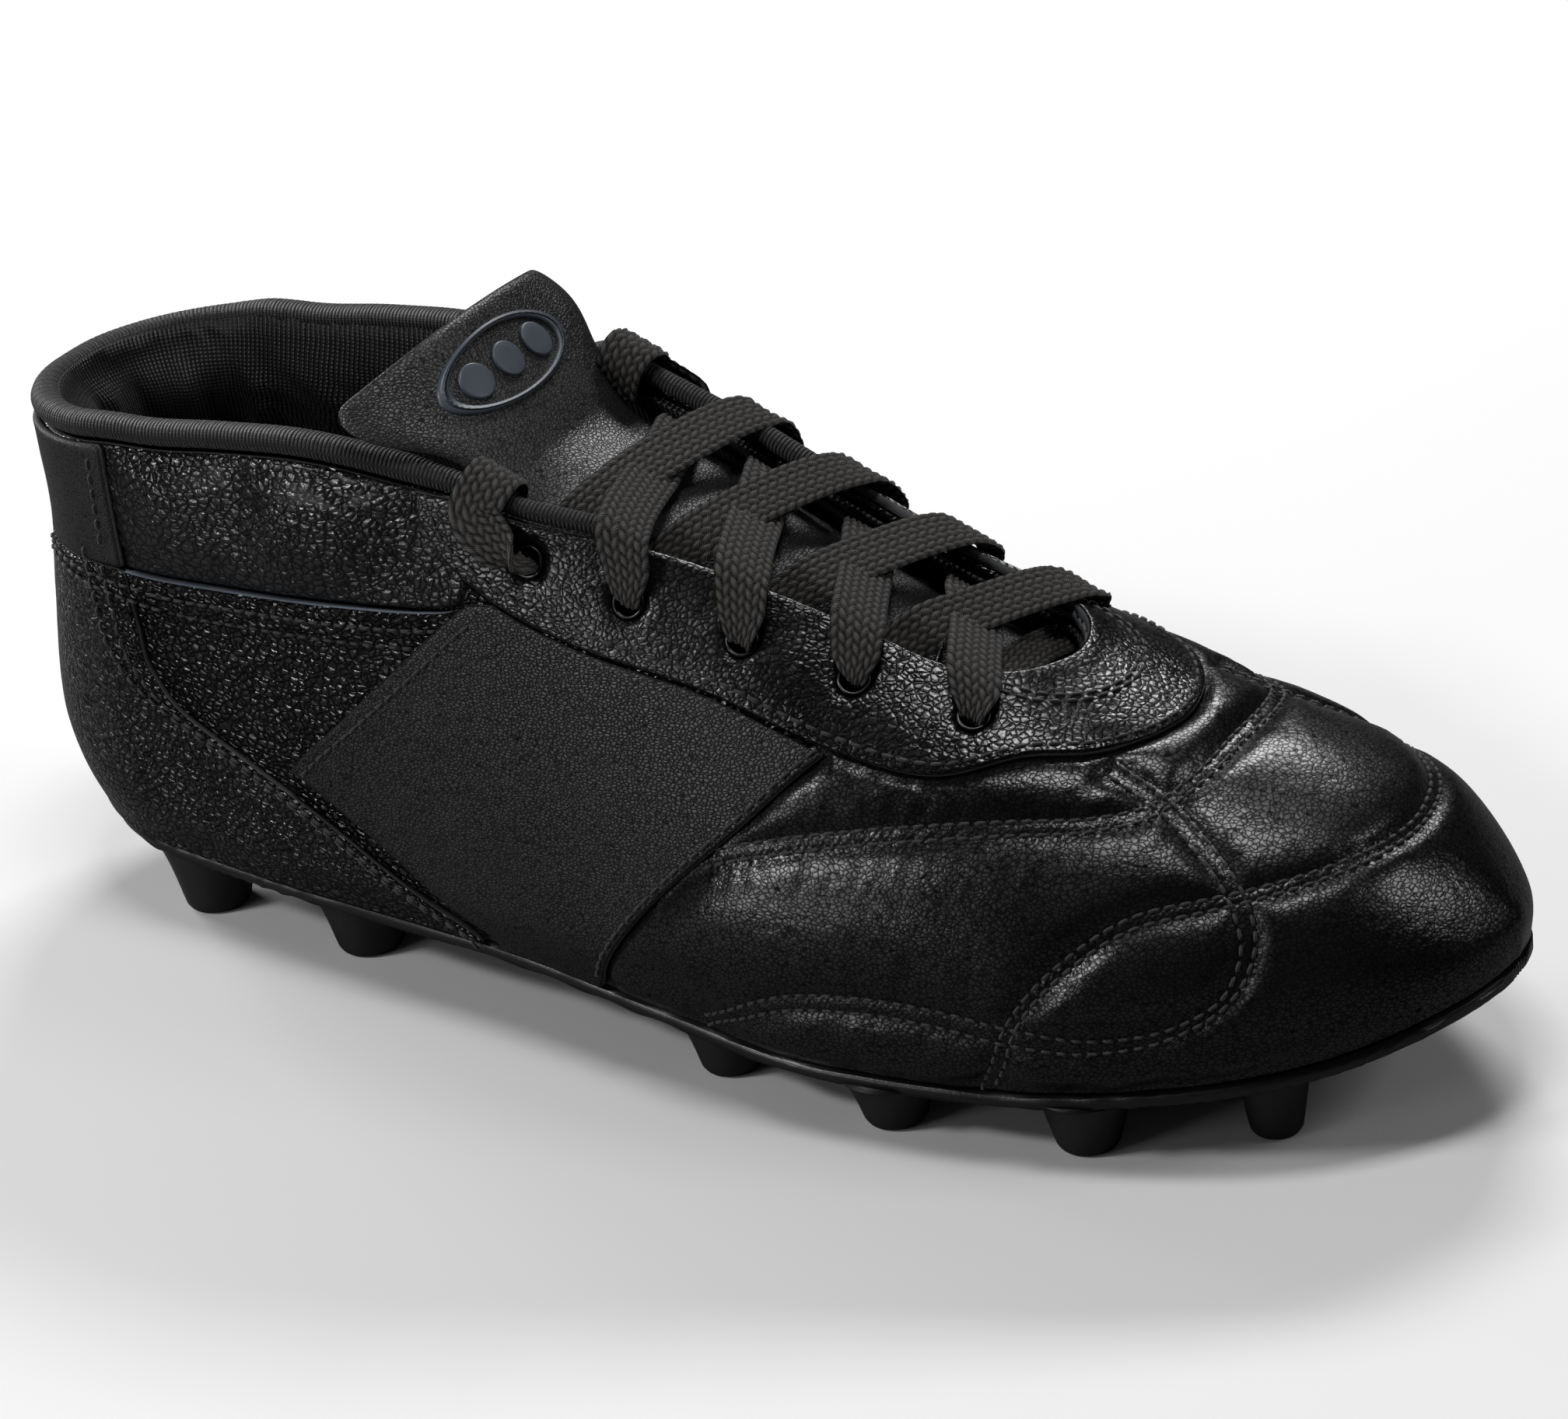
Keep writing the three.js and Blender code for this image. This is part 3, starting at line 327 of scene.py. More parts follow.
def beside(line, gap):
    """An open line drawn again, gap to its left."""
    return stepped(line, np.gradient(line, axis=0), gap)


def inset_ring(ring, gap):
    """A closed outline drawn again, gap inside itself."""
    area = (ring[:, 0] * np.roll(ring[:, 1], -1) - ring[:, 1] * np.roll(ring[:, 0], -1)).sum()
    return stepped(ring, np.roll(ring, -1, axis=0) - np.roll(ring, 1, axis=0), gap if area > 0 else -gap)


def mirrored(points):
    p = np.array(points, float)
    p[:, 1] = 2 * centre_y(p[:, 0]) - p[:, 1]
    return p


def footprint(u, side, inset=0.0):
    x = LENGTH * u
    half = (np.where(side < 0, outer_half(x), inner_half(x)) * (1 - TUCK) - inset) * closure(x)
    along = inset + (LENGTH - 2 * inset) * u
    return np.stack([along + lean(along, feather_z(x)), centre_y(x) + side * half, feather_z(x)], -1)


def sole_line(side, start, end, raise_by=0.3):
    """The edge of the upper at the sole, in pattern space, between two places along the boot."""
    turn = np.linspace(math.acos(1 - 2 * start / LENGTH), math.acos(1 - 2 * end / LENGTH), 160)
    p = footprint(np.clip((1 - np.cos(turn)) / 2, 0.0004, 0.9996), side)
    p[:, 2] += raise_by
    return resample(to_pattern(p), 1.0)


def opening_half(side):
    xs = np.array([6, 13, 24, 40, 60, 80, 94, 103.0])
    collar = on_side(xs, collar_edge(xs), side)
    tx = np.array([112, 120, 132, 148, 165, 185, 200.0])
    throat = on_top(tx, centre_y(tx) + side * throat_half(tx))
    back = on_back(collar_edge(0.0), 0.0)[None]
    front = [on_top(THROAT_END - 4.5, 2.6 + side * 10.5), on_top(THROAT_END, 2.6)]
    return np.vstack([back, collar, throat, np.array(front)])


def opening_line():
    outer, inner = opening_half(-1), opening_half(1)
    return through(to_pattern(np.vstack([outer, inner[1:-1][::-1]])), 1.0, closed=True)


OPENING = opening_line()


def inside(outline, points):
    """Which points lie within a closed outline."""
    x, y = points[:, 0], points[:, 1]
    hit = np.zeros(len(points), bool)
    x0, y0 = outline[:, 0], outline[:, 1]
    x1, y1 = np.roll(x0, -1), np.roll(y0, -1)
    for a, b, c, d in zip(x0, y0, x1, y1):
        if b != d:
            hit ^= ((b > y) != (d > y)) & (x < (c - a) * (y - b) / (d - b) + a)
    return hit


def distance(points, line):
    """Distance from each point to the nearest point of a line."""
    parts = np.array_split(points, len(points) // 1500 + 1)  # a part at a time, to save memory
    return np.concatenate([np.sqrt(((part[:, None] - line) ** 2).sum(-1)).min(1) for part in parts])


# ---------- meshes ----------
def linked(name, data):
    """An object for a mesh, light or camera, in the scene."""
    obj = bpy.data.objects.new(name, data)
    bpy.context.scene.collection.objects.link(obj)
    return obj


def make(name, points, faces, materials, uv=None, slots=None):
    """A mesh from points in millimetres. slots gives each face its material."""
    mesh = bpy.data.meshes.new(name)
    mesh.from_pydata(((np.asarray(points) + HEEL) * MM).tolist(), [], faces)
    for m in materials:
        mesh.materials.append(m)
    if uv is not None:
        layer = mesh.uv_layers.new(name="UVMap")
        index = np.empty(len(mesh.loops), np.int32)
        mesh.loops.foreach_get("vertex_index", index)
        layer.data.foreach_set("uv", (np.asarray(uv)[index] * MM).astype(np.float32).ravel())
    if slots is not None:
        mesh.polygons.foreach_set("material_index", np.asarray(slots, np.int32))
    mesh.polygons.foreach_set("use_smooth", np.ones(len(mesh.polygons), bool))
    mesh.validate()
    mesh.update()
    return linked(name, mesh)


def finished(obj, body, slot, *nodes):
    """Hides the CAD parts that a piece stands in for and hangs it on the body it rides on. slot is not used.
    """
    if nodes:
        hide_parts(*nodes)
    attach(obj, body)


def triangulate(rings, extra, spacing):
    """Triangles over an outline with holes, its own points plus a hexagonal fill."""
    outline = rings[0]
    low, high = outline.min(0), outline.max(0)
    rows = np.arange(low[1], high[1], spacing * 0.87)
    fill = []
    for k, row in enumerate(rows):
        x = np.arange(low[0] + (k % 2) * spacing / 2, high[0], spacing)
        fill.append(np.column_stack([x, np.full(len(x), row)]))
    fill = np.vstack(fill)
    fill = fill[inside(outline, fill)]
    for hole in rings[1:]:
        fill = fill[~inside(hole, fill)]
    fixed = np.vstack(list(rings) + list(extra))
    fill = fill[distance(fill, fixed) > spacing * 0.6]
    clear = [e[distance(e, np.vstack(rings)) > 0.25] for e in extra]
    points = np.vstack(list(rings) + clear + [fill])
    edges, start = [], 0
    for ring in rings:
        n = len(ring)
        edges += [(start + i, start + (i + 1) % n) for i in range(n)]
        start += n
    points = [Vector(p) for p in points.tolist()]
    flat, _, faces, _, _, _ = geometry.delaunay_2d_cdt(points, edges, [], 0, 1e-5)
    flat, faces = np.array([tuple(p) for p in flat]), np.array(faces)
    middle = flat[faces].mean(1)
    keep = inside(outline, middle)
    for hole in rings[1:]:
        keep &= ~inside(hole, middle)
    faces = faces[keep]
    a, b, c = flat[faces[:, 0]], flat[faces[:, 1]], flat[faces[:, 2]]
    turn = (b[:, 0] - a[:, 0]) * (c[:, 1] - a[:, 1]) - (b[:, 1] - a[:, 1]) * (c[:, 0] - a[:, 0])
    faces[turn < 0] = faces[turn < 0][:, ::-1]
    used = np.unique(faces)
    renumber = np.full(len(flat), -1)
    renumber[used] = np.arange(len(used))
    return flat[used], renumber[faces]


def two_faced(faces, n):
    """Faces of a closed sheet whose under side has the same points n further on, and the walls between."""
    edges = {edge for face in faces.tolist() for edge in zip(face, face[1:] + face[:1])}
    walls = [(b, a, a + n, b + n) for a, b in edges if (b, a) not in edges]
    return np.vstack([faces, faces[:, ::-1] + n]).tolist(), walls


OUTLINE_STEP = 1.1
RIM_ROWS = (0.35, 0.85)  # extra rows of points inside a panel's edge, so that it can roll over
CREASE_ROWS = (-0.75, 0, 0.75)  # and beside its creases
THINNEST = 0.15


def panel(name, outline, low, high, materials, holes=(), creases=(), *, spacing, roll=0.5):
    """A closed sheet on the last: low and high give its two faces' heights at pattern points."""
    outline = resample(outline, OUTLINE_STEP, closed=True)
    rings = [outline] + [h for h in holes if inside(outline, h).all()]
    extra = [inset_ring(outline, gap) for gap in RIM_ROWS]
    for line in creases:
        for gap in CREASE_ROWS:
            row = beside(line, gap)
            extra.append(row[inside(outline, row)])
    uv, faces = triangulate(rings, extra, spacing)
    edge_distance = distance(base(uv), base(np.vstack(rings)))
    t = np.clip(edge_distance / roll, 0, 1)
    top = high(uv) - roll * (1 - np.sqrt(1 - (1 - t) ** 2)) * 0.8
    points = np.vstack([place(uv, top), place(uv, np.minimum(low(uv), top - THINNEST))])
    sheet, walls = two_faced(faces, len(uv))
    slots = [0] * len(sheet) + [len(materials) - 1] * len(walls)
    return make(name, points, sheet + walls, materials, np.vstack([uv, uv]), slots)


def full_turn(count):
    """Evenly spaced angles round a circle."""
    return np.linspace(0, 2 * math.pi, count, endpoint=False)


def square_to(out, hint):
    """Two unit directions square to out."""
    a = unit(np.cross(out, hint))
    return a, np.cross(out, a)


def circles(centres, radii, axes, count):
    """A circle of points round each centre, in the plane of two directions."""
    turn = full_turn(count)[:, None]
    a, b = (np.asarray(axis, float)[..., None, :] for axis in axes)
    around = np.asarray(radii, float)[..., None] * (np.cos(turn) * a + np.sin(turn) * b)
    return np.asarray(centres, float)[..., None, :] + around


def revolved(origin, out, axes, profile, count):
    """Rings of points from a profile of (radius, height) pairs turned about the direction out."""
    radius, height = np.array(profile, float).T[..., None]
    return circles(origin + out * height, radius, axes, count)


def grid_faces(rows, columns):
    """Quads between the points of an open grid."""
    i, j = np.meshgrid(np.arange(rows - 1), np.arange(columns - 1), indexing="ij")
    corner = (i * columns + j).ravel()
    return np.stack([corner, corner + columns, corner + columns + 1, corner + 1], -1)


def ring_faces(rows, columns, closed=False):
    """Faces over rings of points, one ring a row. The end rings are filled, or closed joins them."""
    i, j = np.meshgrid(np.arange(rows if closed else rows - 1), np.arange(columns), indexing="ij")
    here, there = i * columns, (i + 1) % rows * columns
    ahead = (j + 1) % columns
    faces = np.stack([here + j, here + ahead, there + ahead, there + j], -1).reshape(-1, 4).tolist()
    if closed:
        return faces
    first = list(range(columns))
    return faces + [first[::-1], [(rows - 1) * columns + k for k in first]]


def swept(name, rings, material, uv=None, closed=False):
    """A solid from rings of points."""
    faces = ring_faces(*rings.shape[:2], closed)
    return outward(make(name, rings.reshape(-1, 3), faces, [material], uv))


def mark(obj, name, values):
    """Stores a number on each vertex for the material to read."""
    attribute = obj.data.attributes.new(name, "FLOAT", "POINT")
    attribute.data.foreach_set("value", np.asarray(values, np.float32))


def outward(obj):
    """Turns the faces of a closed mesh to point out."""
    bm = bmesh.new()
    bm.from_mesh(obj.data)
    bmesh.ops.recalc_face_normals(bm, faces=bm.faces)
    bm.to_mesh(obj.data)
    bm.free()
    return obj


def subdivided(obj, levels):
    """A mesh smoothed by subdivision, with the modifier worked in."""
    mod = obj.modifiers.new("fine", "SUBSURF")
    mod.levels = levels
    mod.render_levels = levels
    bpy.context.view_layer.update()
    mesh = bpy.data.meshes.new_from_object(obj.evaluated_get(bpy.context.evaluated_depsgraph_get()))
    obj.modifiers.clear()
    obj.data = mesh
    return obj


# ---------- materials ----------
class Nodes:
    """Short calls for building a material's node tree."""

    def __init__(self, name, colour, rough):
        self.material = bpy.data.materials.new(name)
        self.material.use_nodes = True
        self.tree = self.material.node_tree
        self.shader = self.tree.nodes["Principled BSDF"]
        self.shader.inputs["Base Color"].default_value = (*colour, 1)
        self.shader.inputs["Roughness"].default_value = rough
        self.place = self.add("ShaderNodeTexCoord").outputs["Object"]

    def add(self, kind, **settings):
        node = self.tree.nodes.new(kind)
        for key, value in settings.items():
            setattr(node, key, value)
        return node

    def link(self, source, target):
        self.tree.links.new(source, target)

    def feed(self, socket, value):
        """Links a socket to another node's output, or sets it to a plain value."""
        if isinstance(value, bpy.types.NodeSocket):
            self.link(value, socket)
        else:
            socket.default_value = value

    def put(self, node, **inputs):
        for key, value in inputs.items():
            self.feed(node.inputs[key.replace("_", " ")], value)
        return node

    def noise(self, scale, detail=3.0, rough=0.55, vector=None):
        node = self.put(self.add("ShaderNodeTexNoise"), Vector=vector or self.place)
        self.put(node, Scale=scale, Detail=detail, Roughness=rough)
        return node.outputs["Fac"]

    def cell_edges(self, scale, vector):
        """Distance from the edges between pebbles."""
        node = self.add("ShaderNodeTexVoronoi", feature="DISTANCE_TO_EDGE")
        return self.put(node, Vector=vector, Scale=scale).outputs["Distance"]

    def math(self, operation, a, b=0.0):
        node = self.add("ShaderNodeMath", operation=operation)
        self.feed(node.inputs[0], a)
        self.feed(node.inputs[1], b)
        return node.outputs[0]

    def fit(self, value, low, high, new_low=0.0, new_high=1.0):
        node = self.add("ShaderNodeMapRange")
        self.put(node, Value=value, From_Min=low, From_Max=high, To_Min=new_low, To_Max=new_high)
        return node.outputs["Result"]

    def warped(self, scale, amount):
        """The object's coordinates moved about by noise."""
        noise = self.put(self.add("ShaderNodeTexNoise"), Vector=self.place, Scale=scale, Detail=2.0)
        away = self.put(self.add("ShaderNodeVectorMath", operation="SCALE"), Scale=amount)
        self.link(noise.outputs["Color"], away.inputs[0])
        total = self.add("ShaderNodeVectorMath", operation="ADD")
        self.link(self.place, total.inputs[0])
        self.link(away.outputs[0], total.inputs[1])
        return total.outputs[0]

    def lengthwise(self, vector, amount):
        """Coordinates squeezed in height, so that what is drawn in them lies along the boot."""
        node = self.add("ShaderNodeVectorMath", operation="MULTIPLY")
        self.link(vector, node.inputs[0])
        node.inputs[1].default_value = (1, 1, amount)
        return node.outputs[0]

    def blend(self, factor, a, b):
        node = self.add("ShaderNodeMix", data_type="RGBA")
        self.link(factor, node.inputs["Factor"])
        node.inputs["A"].default_value = (*a, 1)
        node.inputs["B"].default_value = (*b, 1)
        return node.outputs["Result"]

    def bump(self, height, depth_mm, strength=1.0, after=None):
        node = self.put(self.add("ShaderNodeBump"), Height=height, Distance=depth_mm * MM, Strength=strength)
        if after is not None:
            self.link(after, node.inputs["Normal"])
        self.link(node.outputs["Normal"], self.shader.inputs["Normal"])
        return node.outputs["Normal"]

    def set(self, **inputs):
        self.put(self.shader, **inputs)


def shade(level, tint=(1, 1, 1)):
    return tuple(level * t for t in tint)


def leather(name, level, rough, pebble_mm, depth_mm, coat=0.0, wrinkle=0.0, fine=0.1):
    """Grained leather: domed pebbles parted by creases darkened with painted shade, fine pores, folds and a
    little colour drift.
    """
    tint = (1, 1, 1.03)
    n = Nodes(name, shade(level, tint), rough)
    warp = n.lengthwise(n.warped(110, 0.0022 * pebble_mm / 1.4), 1.45)
    edge = n.cell_edges(1000 / pebble_mm, warp)
    dome = n.math("POWER", n.fit(edge, 0.0, 0.4), 0.7)
    grain = n.noise(2600 / pebble_mm, 2.0)
    drift = n.noise(38, 3.0)
    height = n.math("ADD", dome, n.math("MULTIPLY", grain, fine * 3))
    last_bump = n.bump(height, depth_mm)
    if wrinkle:
        folds = n.noise(120, 4.0, 0.6, n.lengthwise(n.warped(45, 0.012), 1.6))
        n.bump(n.math("ABSOLUTE", n.math("SUBTRACT", folds, 0.5)), wrinkle, 1.0, last_bump)
    n.set(Base_Color=n.blend(n.fit(drift, 0.35, 0.65), shade(level * 0.75, tint), shade(level * 1.3, tint)))
    worn = n.fit(drift, 0.3, 0.7, rough - 0.05, rough + 0.06)
    n.set(Roughness=worn, Coat_Weight=coat, Coat_Roughness=0.2)
    # Specular is lowered in the creases between pebbles: painted shade standing in for the shade that falls
    # in them.
    n.set(Specular_IOR_Level=n.fit(dome, 0.1, 0.65, 0.04, 0.7))
    return n.material


def cut_edge(name, level, tint):
    """The raw edge of cut leather: fibrous, a little paler than the face."""
    n = Nodes(name, shade(level, tint), 0.7)
    n.bump(n.noise(3000, 3.0), 0.12)
    n.set(Base_Color=n.blend(n.noise(400, 3.0), shade(level * 0.6, tint), shade(level * 1.3, tint)))
    return n.material


def thread(name, level):
    """Twisted sewing thread."""
    n = Nodes(name, shade(level), 0.55)
    n.bump(n.noise(3500, 2.0), 0.1)
    n.set(Sheen_Weight=0.2, Base_Color=n.blend(n.noise(600), shade(level * 0.7), shade(level * 1.4)))
    return n.material


def uv_axis(n, axis):
    """One of the piece's own two coordinates."""
    split = n.add("ShaderNodeSeparateXYZ")
    n.link(n.add("ShaderNodeTexCoord").outputs["UV"], split.inputs[0])
    return split.outputs[axis]


def wave_of(n, value, pitch_mm):
    """Humps of a given pitch along a coordinate."""
    return n.math("ABSOLUTE", n.math("SINE", n.math("MULTIPLY", value, math.pi / (pitch_mm * MM))))


def ribbed(name, level, pitch_mm, depth_mm, rough, sheen):
    """Rib knit: ribs along one direction, each a row of small loops."""
    tint = (1, 1, 1.05)
    n = Nodes(name, shade(level, tint), rough)
    rib = wave_of(n, uv_axis(n, "X"), pitch_mm)
    loops = wave_of(n, uv_axis(n, "Y"), pitch_mm * 0.6)
    first = n.bump(n.math("ADD", rib, n.math("MULTIPLY", n.math("MULTIPLY", loops, rib), 0.3)), depth_mm)
    n.bump(n.noise(3200, 2.0), depth_mm * 0.25, 0.6, first)
    # The colour is darker between the ribs and lighter on their crests: painted shade and painted highlight.
    n.set(Base_Color=n.blend(rib, shade(level * 0.2, tint), shade(level * 1.7, tint)))
    n.set(Sheen_Weight=sheen, Sheen_Roughness=0.4, Specular_IOR_Level=0.4)
    return n.material


def woven(name, level):
    """Braided lace: plaits of fine strands, darkened between them with painted shade and lightened on their
    tops with painted highlight.
    """
    tint = (1.08, 1.0, 0.9)
    n = Nodes(name, shade(level, tint), 0.8)
    relief = n.add("ShaderNodeAttribute", attribute_name="relief").outputs["Fac"]
    along, across = uv_axis(n, "X"), uv_axis(n, "Y")
    strands = wave_of(n, n.math("ADD", along, n.math("MULTIPLY", across, 0.8)), 0.42)
    first = n.bump(strands, 0.12)
    n.bump(n.noise(5200, 2.0), 0.06, 0.8, first)
    # body runs from painted shade in the hollows between plaits to painted highlight on their raised tops.
    body = n.math("MULTIPLY", n.fit(relief, 0.3, 0.9), n.fit(strands, 0, 1, 0.6, 1.0))
    n.set(Base_Color=n.blend(body, shade(level * 0.08, tint), shade(level * 1.9, tint)))
    n.set(Sheen_Weight=0.08, Sheen_Roughness=0.4, Specular_IOR_Level=0.25)
    return n.material


def moulded(name, level, rough, grain=0.04, tint=(1, 1, 1)):
    """Moulded plastic with a faint grain and uneven gloss."""
    n = Nodes(name, shade(level, tint), rough)
    n.bump(n.noise(1600, 3.0), grain)
    drift = n.noise(60, 2.0)
    n.set(Roughness=n.fit(drift, 0.3, 0.7, rough - 0.05, rough + 0.08))
    n.set(Base_Color=n.blend(drift, shade(level * 0.85, tint), shade(level * 1.2, tint)))
    return n.material


def metal(name):
    """Dark lacquered metal."""
    n = Nodes(name, (0.05, 0.05, 0.055), 0.3)
    n.bump(n.noise(900), 0.02)
    n.set(Metallic=1.0, Roughness=n.fit(n.noise(400), 0.3, 0.7, 0.2, 0.42))
    return n.material


def fibre(name, level, tint):
    """Matted fibre, for boards and the insole."""
    n = Nodes(name, shade(level, tint), 0.9)
    n.bump(n.noise(1500, 4.0), 0.2)
    n.set(Base_Color=n.blend(n.noise(500, 4.0), shade(level * 0.7, tint), shade(level * 1.2, tint)))
    return n.material


VAMP = leather("vamp_leather", 0.003, 0.31, 1.0, 0.022, wrinkle=0.35)
GRAIN = leather("pebbled_leather", 0.003, 0.25, 1.75, 0.4, wrinkle=0.5)
COLLAR = leather("collar_leather", 0.004, 0.27, 1.9, 0.19, coat=0.1, wrinkle=1.2)
STAY = leather("eyestay_leather", 0.003, 0.27, 1.3, 0.06, wrinkle=0.4)
COUNTER = leather("counter_leather", 0.003, 0.25, 1.6, 0.34, wrinkle=0.5)
SADDLE = leather("saddle_leather", 0.006, 0.46, 0.85, 0.09)
TAB = leather("tab_leather", 0.007, 0.52, 0.6, 0.03)
TONGUE = leather("tongue_leather", 0.01, 0.43, 0.8, 0.06, fine=0.15)
# The cut edge is paler than the leather partly as its own fibrous tone and partly as painted highlight, so
# that the edges catch light.
RAW = cut_edge("raw_edge", 0.06, (0.95, 1.0, 1.1))
RAW_BLUE = cut_edge("raw_edge_pale", 0.14, (0.85, 1.0, 1.25))
THREAD = thread("thread", 0.008)
KNIT = ribbed("rib_knit", 0.012, 0.8, 0.4, 0.5, 0.08)
TEXTILE = ribbed("lining_textile", 0.004, 1.15, 0.26, 0.4, 0.05)
LACE = woven("lace_braid", 0.042)
PLASTIC = moulded("moulded_plate", 0.006, 0.3)
STUD = moulded("moulded_stud", 0.012, 0.42, 0.06)
METAL = metal("eyelet_metal")
PRINT = moulded("raised_print", 0.06, 0.4, tint=(0.8, 1.0, 1.3))
INSOLE = fibre("insole_fabric", 0.02, (1, 1, 1.05))
BOARD = fibre("board_fibre", 0.25, (1, 0.9, 0.75))
STIFF = fibre("stiffener_fibre", 0.45, (1, 0.93, 0.8))


# ---------- outlines of the pieces, in pattern space ----------
# Walls are drawn as (x, z) pairs, the top of the foot as (x, distance from the middle).
EYESTAY_SIDE = [
    (100.5, 110),
    (102, 98),
    (107, 91),
    (118, 84),
    (136, 78.5),
    (160, 74.2),
    (184, 67.5),
    (204, 64.5),
]
EYESTAY_FRONT = [(217, 24), (227, 18), (233.5, 9)]
HEEL_LINE = [(9, SEAM_Z - 1), (18, SEAM_Z - 0.4), (28, SEAM_Z), (BACK_X, SEAM_Z)]
COUNTER_EDGE = [
    (BACK_X + 0.6, SEAM_Z - 1.5),
    (37, 66),
    (39, 57),
    (46, 49.5),
    (59, 43.5),
    (74, 36.6),
    (88, 29.5),
    (101, 23),
    (110, 17.5),
]
SADDLE_BACK = [(70.8, 44.5), (86, 58.5), (99, 70.5), (113, 83)]
SADDLE_LOW = [(71.5, 43.6), (86, 36), (100, 27.8), (113, 20.5)]
SADDLE_FRONT = [(184, 66.4), (170, 53.5), (154, 38.5), (138, 16.5)]
COLLAR_SEAM = [
    (10, SEAM_Z - 1.6),
    (22, SEAM_Z - 1.2),
    (37, SEAM_Z - 0.6),
    (55, SEAM_Z - 0.2),
    (80, SEAM_Z + 1.2),
    (103, SEAM_Z + 3),
    (111, SEAM_Z + 5),
    (113, SEAM_Z + 9),
]
HOLE_X = [206.5, 185.5, 165.5, 144.5, 125]  # from the toe
HOLE_Y = [21.5, 23.5, 25, 26.5, 27]  # out from the centreline
SOLE_ENDS = (0.3, LENGTH - 0.2)
VAMP_BACK, QUARTER_FRONT = 129, 128  # where the vamp and the quarters meet at the sole
STAY_MIDDLE = 3  # y of the eyestay's front curve


def hole_at(k, side):
    return on_top(HOLE_X[k], centre_y(HOLE_X[k]) + side * HOLE_Y[k])


def hole_ring(k, side):
    """The edge of a lace hole in the leather."""
    centre = hole_at(k, side)
    out = normal(to_pattern(centre))
    return to_pattern(circles(centre, HOLE_R - 0.4, square_to(out, (0, 0, 1)), 20))


HOLES = [hole_ring(k, side) for side in SIDES for k in range(len(HOLE_X))]


def on_line(side, pairs):
    return through(sides(pairs, side))


COLLAR_LINE = {side: on_line(side, COLLAR_SEAM) for side in SIDES}


def back_point(z):
    return to_pattern(on_back(z, 0.0))[None]


def opening_part(test):
    """The stretch of the opening's edge where a test of its points holds, in order."""
    keep = test(base(OPENING))
    first = np.flatnonzero(keep & ~np.roll(keep, 1))[0]
    return np.roll(OPENING, -first, axis=0)[: keep.sum()]


def both_sides(half):
    """An outer half and then the inner half backwards."""
    return np.vstack([half(-1), half(1)[::-1]])


def from_end(line, point):
    """A line in the order that starts at its end nearest a point."""
    ends = np.linalg.norm(line[[0, -1]] - point, axis=1)
    return line[::-1] if ends[0] > ends[1] else line


def eyestay_rim():
    def down(side):
        a, f = np.array(EYESTAY_SIDE), np.array(EYESTAY_FRONT)
        return np.vstack([on_side(a[:, 0], a[:, 1], side), on_top(f[:, 0], STAY_MIDDLE + side * f[:, 1])])

    points = np.vstack([down(-1)[1:], on_top(235.5, STAY_MIDDLE)[None], down(1)[1:][::-1]])
    return through(to_pattern(points))


def eyestay_outline():
    rim = eyestay_rim()
    return np.vstack([rim, from_end(opening_part(lambda p: p[:, 0] > 101.5), rim[-1])])


def vamp_seam(side):
    under_stay = on_top(np.full(3, 196.0), STAY_MIDDLE + side * np.array([12, 18, 23.0]))
    wall = on_side([183, 166, 148, 130], [69, 54, 37, 17], side)
    return through(to_pattern(np.vstack([under_stay, wall])))


def vamp_outline():
    outer, inner = vamp_seam(-1), vamp_seam(1)
    sole = both_sides(lambda side: sole_line(side, VAMP_BACK, SOLE_ENDS[1]))
    throat = from_end(opening_part(lambda p: p[:, 0] > 197), inner[0])
    return np.vstack([outer, sole, inner[::-1], throat])


def quarter_outline(side):
    seam = COLLAR_LINE[side]
    throat = opening_part(lambda p: (p[:, 0] > 113) & (p[:, 0] < 197) & (p[:, 1] * side > 5))
    sole = sole_line(side, SOLE_ENDS[0], QUARTER_FRONT)[::-1]
    return np.vstack([back_point(SEAM_Z - 2.2), seam, from_end(throat, seam[-1]), vamp_seam(side), sole])


def collar_outline(side):
    seam = beside(COLLAR_LINE[side], side * -0.4)
    top = opening_part(lambda p: (p[:, 0] < 112) & (p[:, 1] * side > 0.2))
    return np.vstack([seam, from_end(top, seam[-1])])


def counter_outline():
    def half(side):
        line = np.vstack([on_line(side, raised(HEEL_LINE, -0.25)), on_line(side, COUNTER_EDGE)])
        sole = sole_line(side, SOLE_ENDS[0], COUNTER_EDGE[-1][0])[::-1]
        return np.vstack([back_point(SEAM_Z - 1.25), line, sole])

    return both_sides(half)


def tab_outline():
    def half(side):
        seam = on_line(side, raised(HEEL_LINE, 0.25))
        top = opening_part(lambda p: (p[:, 0] < BACK_X - 1) & (p[:, 1] * side > 0.2))
        front = sides([(BACK_X - 1, 97)], side)[0]
        return np.vstack([back_point(SEAM_Z - 0.75), seam, from_end(top, front)])

    return both_sides(half)


def saddle_outline(side):
    xs = np.linspace(118, 178, 12)
    stay = curve(*zip(*EYESTAY_SIDE[1:]))
    top = sides(np.column_stack([xs, stay(xs) - 0.6]), side)
    return np.vstack([
        on_line(side, SADDLE_BACK),
        top,
        on_line(side, SADDLE_FRONT),
        sole_line(side, 115, 137)[::-1],
        on_line(side, SADDLE_LOW)[::-1],
    ])


